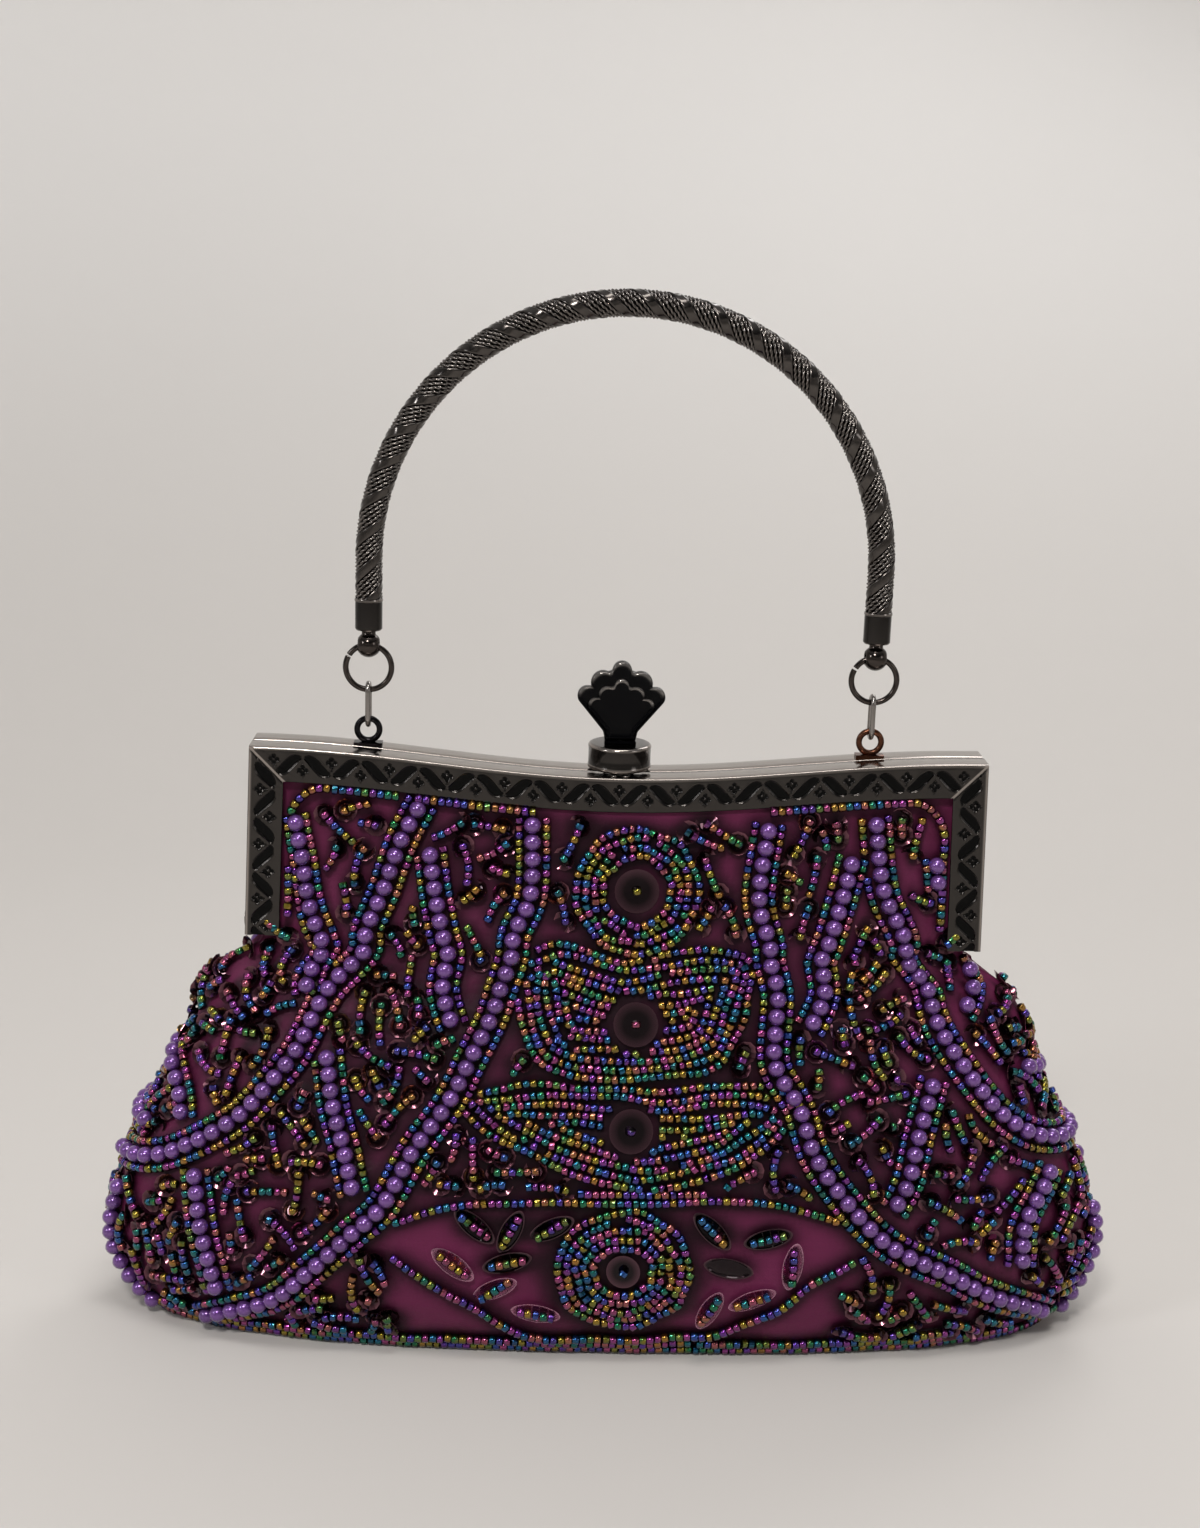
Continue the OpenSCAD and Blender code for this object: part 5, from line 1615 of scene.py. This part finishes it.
class PURSE_OT_frame(bpy.types.Operator):
    """Frame halves with their engraved bands and hinge ears"""

    bl_idname = "purse.frame"
    bl_label = "Frame"

    def execute(self, context):
        front = frame_band("front_band", -1, "front")
        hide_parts("front_frame")
        rear = frame_band("rear_band", 1, "rear")
        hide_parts("rear_frame")
        # The rear's ears lie outside the front's
        outer = HINGE_X - METAL_T - 0.15
        inner = outer - 0.2 - METAL_T
        hinge_ears("front_hinge_ears", -1, inner, inner + METAL_T, "front")
        hinge_ears("rear_hinge_ears", 1, outer, HINGE_X, "rear")
        nickel = finish("Nickel plating")
        for side in ("left", "right"):
            polished("hinge_pin_" + side, "hinge_rivet_" + side, nickel, "rear", 0.15)
        return {"FINISHED"}


class PURSE_OT_clasp(bpy.types.Operator):
    """Clasp drum, shell finial and the works under them"""

    bl_idname = "purse.clasp"
    bl_label = "Clasp"

    def execute(self, context):
        drum()
        finial()
        for node, body in (("clasp_bracket", "rear"), ("clasp_pin", "rear"), ("catch_rivets", "front")):
            polished(node, node + "_plated", finish("Nickel plating"), body, 0.08)
        for node in ("finial_screw", "clasp_spring", "catch_tongue"):
            dress(node, "Nickel plating")
        return {"FINISHED"}


class PURSE_OT_handle(bpy.types.Operator):
    """Wound handle with its ferrules and balls, and the rings, links and lugs that carry it"""

    bl_idname = "purse.handle"
    bl_label = "Handle"

    def execute(self, context):
        wound_sleeve()
        ferrules()
        nickel = finish("Nickel plating")
        # Rings and end balls take the plating darkened all over as painted shade
        smoked = finish("Smoked plating")
        for side, lug in (("left", "Blackened plating"), ("right", "Browned plating")):
            polished("lug_" + side, "lug_plate_" + side, finish(lug), "rear", 0.15)
            polished("link_" + side, "link_wire_" + side, nickel, side + "_link", 0)
            polished("ring_" + side, "ring_wire_" + side, smoked, side + "_ring", 0.1)
            polished("end_ball_" + side, "end_ball_polished_" + side, smoked, "handle", 0)
        dress("handle_rod", "Nickel plating")
        return {"FINISHED"}


class PURSE_OT_cloth(bpy.types.Operator):
    """Outer satin, side pleats, lining and the board in the base"""

    bl_idname = "purse.cloth"
    bl_label = "Cloth"

    def execute(self, context):
        # How far in from the surface, how thick, material, height of the foot, drop of the top, and slot
        outer = (0, props("cloth").thickness / MM, "Plum satin", 0, CLOTH_DROP, "plum_satin")
        front = bag_side("front_cloth", False, *outer)
        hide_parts("front_panel", "front_fold")
        rear = bag_side("rear_cloth", True, *outer)
        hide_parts("rear_panel", "pouch")
        bag_floor("base_cloth", 0.0, 0.4, props("cloth").thickness / MM, "Plum satin")
        for side, sign in (("left", -1), ("right", 1)):
            gusset("side_pleat_" + side, sign)
        inner = (1.8, 0.6, "Lining satin", 4.1, 2.7, "lining_satin")
        front = bag_side("front_inner_cloth", False, *inner)
        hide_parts("front_lining")
        rear = bag_side("rear_inner_cloth", True, *inner)
        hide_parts("rear_lining", "pouch_lining")
        bag_floor("inner_floor", 4.0, 2.0, 0.6, "Lining satin")
        dress("base_board", "Stiff board")
        return {"FINISHED"}


class PURSE_OT_beads(bpy.types.Operator):
    """Pearls, seed beads and sequins of both sides"""

    bl_idname = "purse.beads"
    bl_label = "Beadwork"

    def execute(self, context):
        bead_side("front", 0)
        bead_side("rear", 1)
        return {"FINISHED"}


# Lamps: name, place and size in metres, power in watts, and colour
LAMPS = (
    ("Ceiling", (0.1, -0.35, 1.35), (0.6, 0.3), 4.6, (1.0, 0.98, 0.95)),
    ("Softbox", (-0.2, -0.8, 0.95), (0.2, 0.14), 5.8, (1.0, 0.97, 0.94)),
    ("Left window", (-1.15, -0.75, 0.75), (0.18, 0.3), 3.2, (0.95, 0.97, 1.0)),
    ("Right fill", (1.25, -0.9, 0.6), (0.4, 0.4), 1.5, (1.0, 1.0, 1.0)),
    ("Back fill", (0.35, 0.62, 0.7), (0.4, 0.3), 1.5, (1.0, 1.0, 1.0)),
)
LAMP_AIM = Vector((0, 0, 0.11))


def area_lamp(name, place, size, power, tone):
    """Soft rectangular lamp that the camera doesn't see, turned to the middle of the purse."""
    lamp = bpy.data.lights.new(name, "AREA")
    lamp.shape = "RECTANGLE"
    lamp.size, lamp.size_y = size
    lamp.energy = power
    lamp.color = tone
    thing = bpy.data.objects.new(name, lamp)
    bpy.context.scene.collection.objects.link(thing)
    thing.location = place
    thing.visible_camera = False
    thing.rotation_euler = (LAMP_AIM - thing.location).to_track_quat("-Z", "Y").to_euler()


def bright_room(world):
    """Room light, bright overhead and behind the purse and dim in front of it: a ramp over how far each
    direction points up and back."""
    world.use_nodes = True
    tree = world.node_tree
    facing = tree.nodes.new("ShaderNodeVectorMath")
    facing.operation = "DOT_PRODUCT"
    facing.inputs[1].default_value = (0.0, 0.45, 0.89)
    tree.links.new(tree.nodes.new("ShaderNodeTexCoord").outputs["Generated"], facing.inputs[0])
    room = tree.nodes.new("ShaderNodeValToRGB")
    dim, bright = room.color_ramp.elements
    dim.position = 0.0
    dim.color = grey(0.1)
    bright.position = 0.85
    bright.color = grey(0.95)
    room.color_ramp.elements.new(0.3).color = grey(0.22)
    tree.links.new(facing.outputs["Value"], room.inputs[0])
    tree.links.new(room.outputs[0], tree.nodes["Background"].inputs["Color"])
    tree.nodes["Background"].inputs["Strength"].default_value = 0.56


def floor_and_wall():
    """Floor that runs out and curves up into a round wall, which passes close behind the purse: a profile
    of radius and height turned about a centre in front of it."""
    bend = np.linspace(0, np.pi / 2, 16)
    curve = 500
    reach = 2000
    centre_y = -1100
    wall_top = 1300
    radius = np.concatenate([[1, 400, 1000], reach - curve + curve * np.sin(bend), [reach]])[:, None]
    height = np.concatenate([[0, 0, 0], curve - curve * np.cos(bend), [wall_top]])[:, None]
    turn = np.linspace(0, 2 * np.pi, 96)[None]
    points = np.stack(
        np.broadcast_arrays(radius * np.cos(turn), radius * np.sin(turn) + centre_y, height), -1
    )
    # The wall is painted paler than the floor, as painted light
    wall = ease(points[..., 2], 0, 400)
    return build("floor_and_wall", points, grid(*points.shape[:2]), finish("Pale wall"), wall=wall)


class PURSE_OT_stage(bpy.types.Operator):
    """Pale floor and wall, soft lamps and the camera"""

    bl_idname = "purse.stage"
    bl_label = "Stage"

    def execute(self, context):
        floor_and_wall()
        context.scene.world = bpy.data.worlds.new("Studio")
        bright_room(context.scene.world)
        for lamp in LAMPS:
            area_lamp(*lamp)
        camera = bpy.data.cameras.new("Camera")
        camera.lens = 48.12
        thing = bpy.data.objects.new("Camera", camera)
        context.scene.collection.objects.link(thing)
        # Place and turn fitted to the photograph: it looks down a little from the middle
        turn = Matrix.Identity(4)
        for degrees, axis in ((-1.47, "Z"), (90 - 14.14, "X"), (1.82, "Z")):
            turn = turn @ Matrix.Rotation(math.radians(degrees), 4, axis)
        thing.matrix_world = Matrix.Translation((-0.0173, -0.4883, 0.2690)) @ turn
        context.scene.camera = thing
        context.scene.view_settings.view_transform = "Standard"
        return {"FINISHED"}


class PURSE_PT_panel(bpy.types.Panel):
    """Lists the purse's pieces and their sizes"""

    bl_label = "Purse"
    bl_idname = "PURSE_PT_panel"
    bl_space_type = "VIEW_3D"
    bl_region_type = "UI"
    bl_category = "Purse"

    def draw(self, context):
        for group, operators in PANEL_ROWS:
            box = self.layout.box()
            for name in operators:
                box.operator(name)
            if group:
                settings = getattr(context.scene, group)
                for key in settings.__annotations__:
                    box.prop(settings, key)


PANEL_ROWS = (
    ("purse_metal", ("purse.frame", "purse.clasp", "purse.handle")),
    ("purse_cloth", ("purse.cloth",)),
    ("purse_beads", ("purse.beads",)),
    (None, ("purse.stage",)),
)
GROUPS = {"purse_metal": PurseMetal, "purse_cloth": PurseCloth, "purse_beads": PurseBeads}
CLASSES = (
    *GROUPS.values(), PURSE_OT_frame, PURSE_OT_clasp, PURSE_OT_handle, PURSE_OT_cloth, PURSE_OT_beads,
    PURSE_OT_stage, PURSE_PT_panel,
)


def register():
    """Registers the classes and the scene's settings."""
    for cls in CLASSES:
        bpy.utils.register_class(cls)
    for name, group in GROUPS.items():
        setattr(bpy.types.Scene, name, bpy.props.PointerProperty(type=group))


def unregister():
    """Takes the settings and the classes away again."""
    for name in GROUPS:
        delattr(bpy.types.Scene, name)
    for cls in reversed(CLASSES):
        bpy.utils.unregister_class(cls)


def main():
    """Builds the stage and every group of pieces."""
    register()
    bpy.ops.purse.stage()
    bpy.ops.purse.frame()
    bpy.ops.purse.clasp()
    bpy.ops.purse.handle()
    bpy.ops.purse.cloth()
    bpy.ops.purse.beads()


if __name__ == "__main__":
    main()
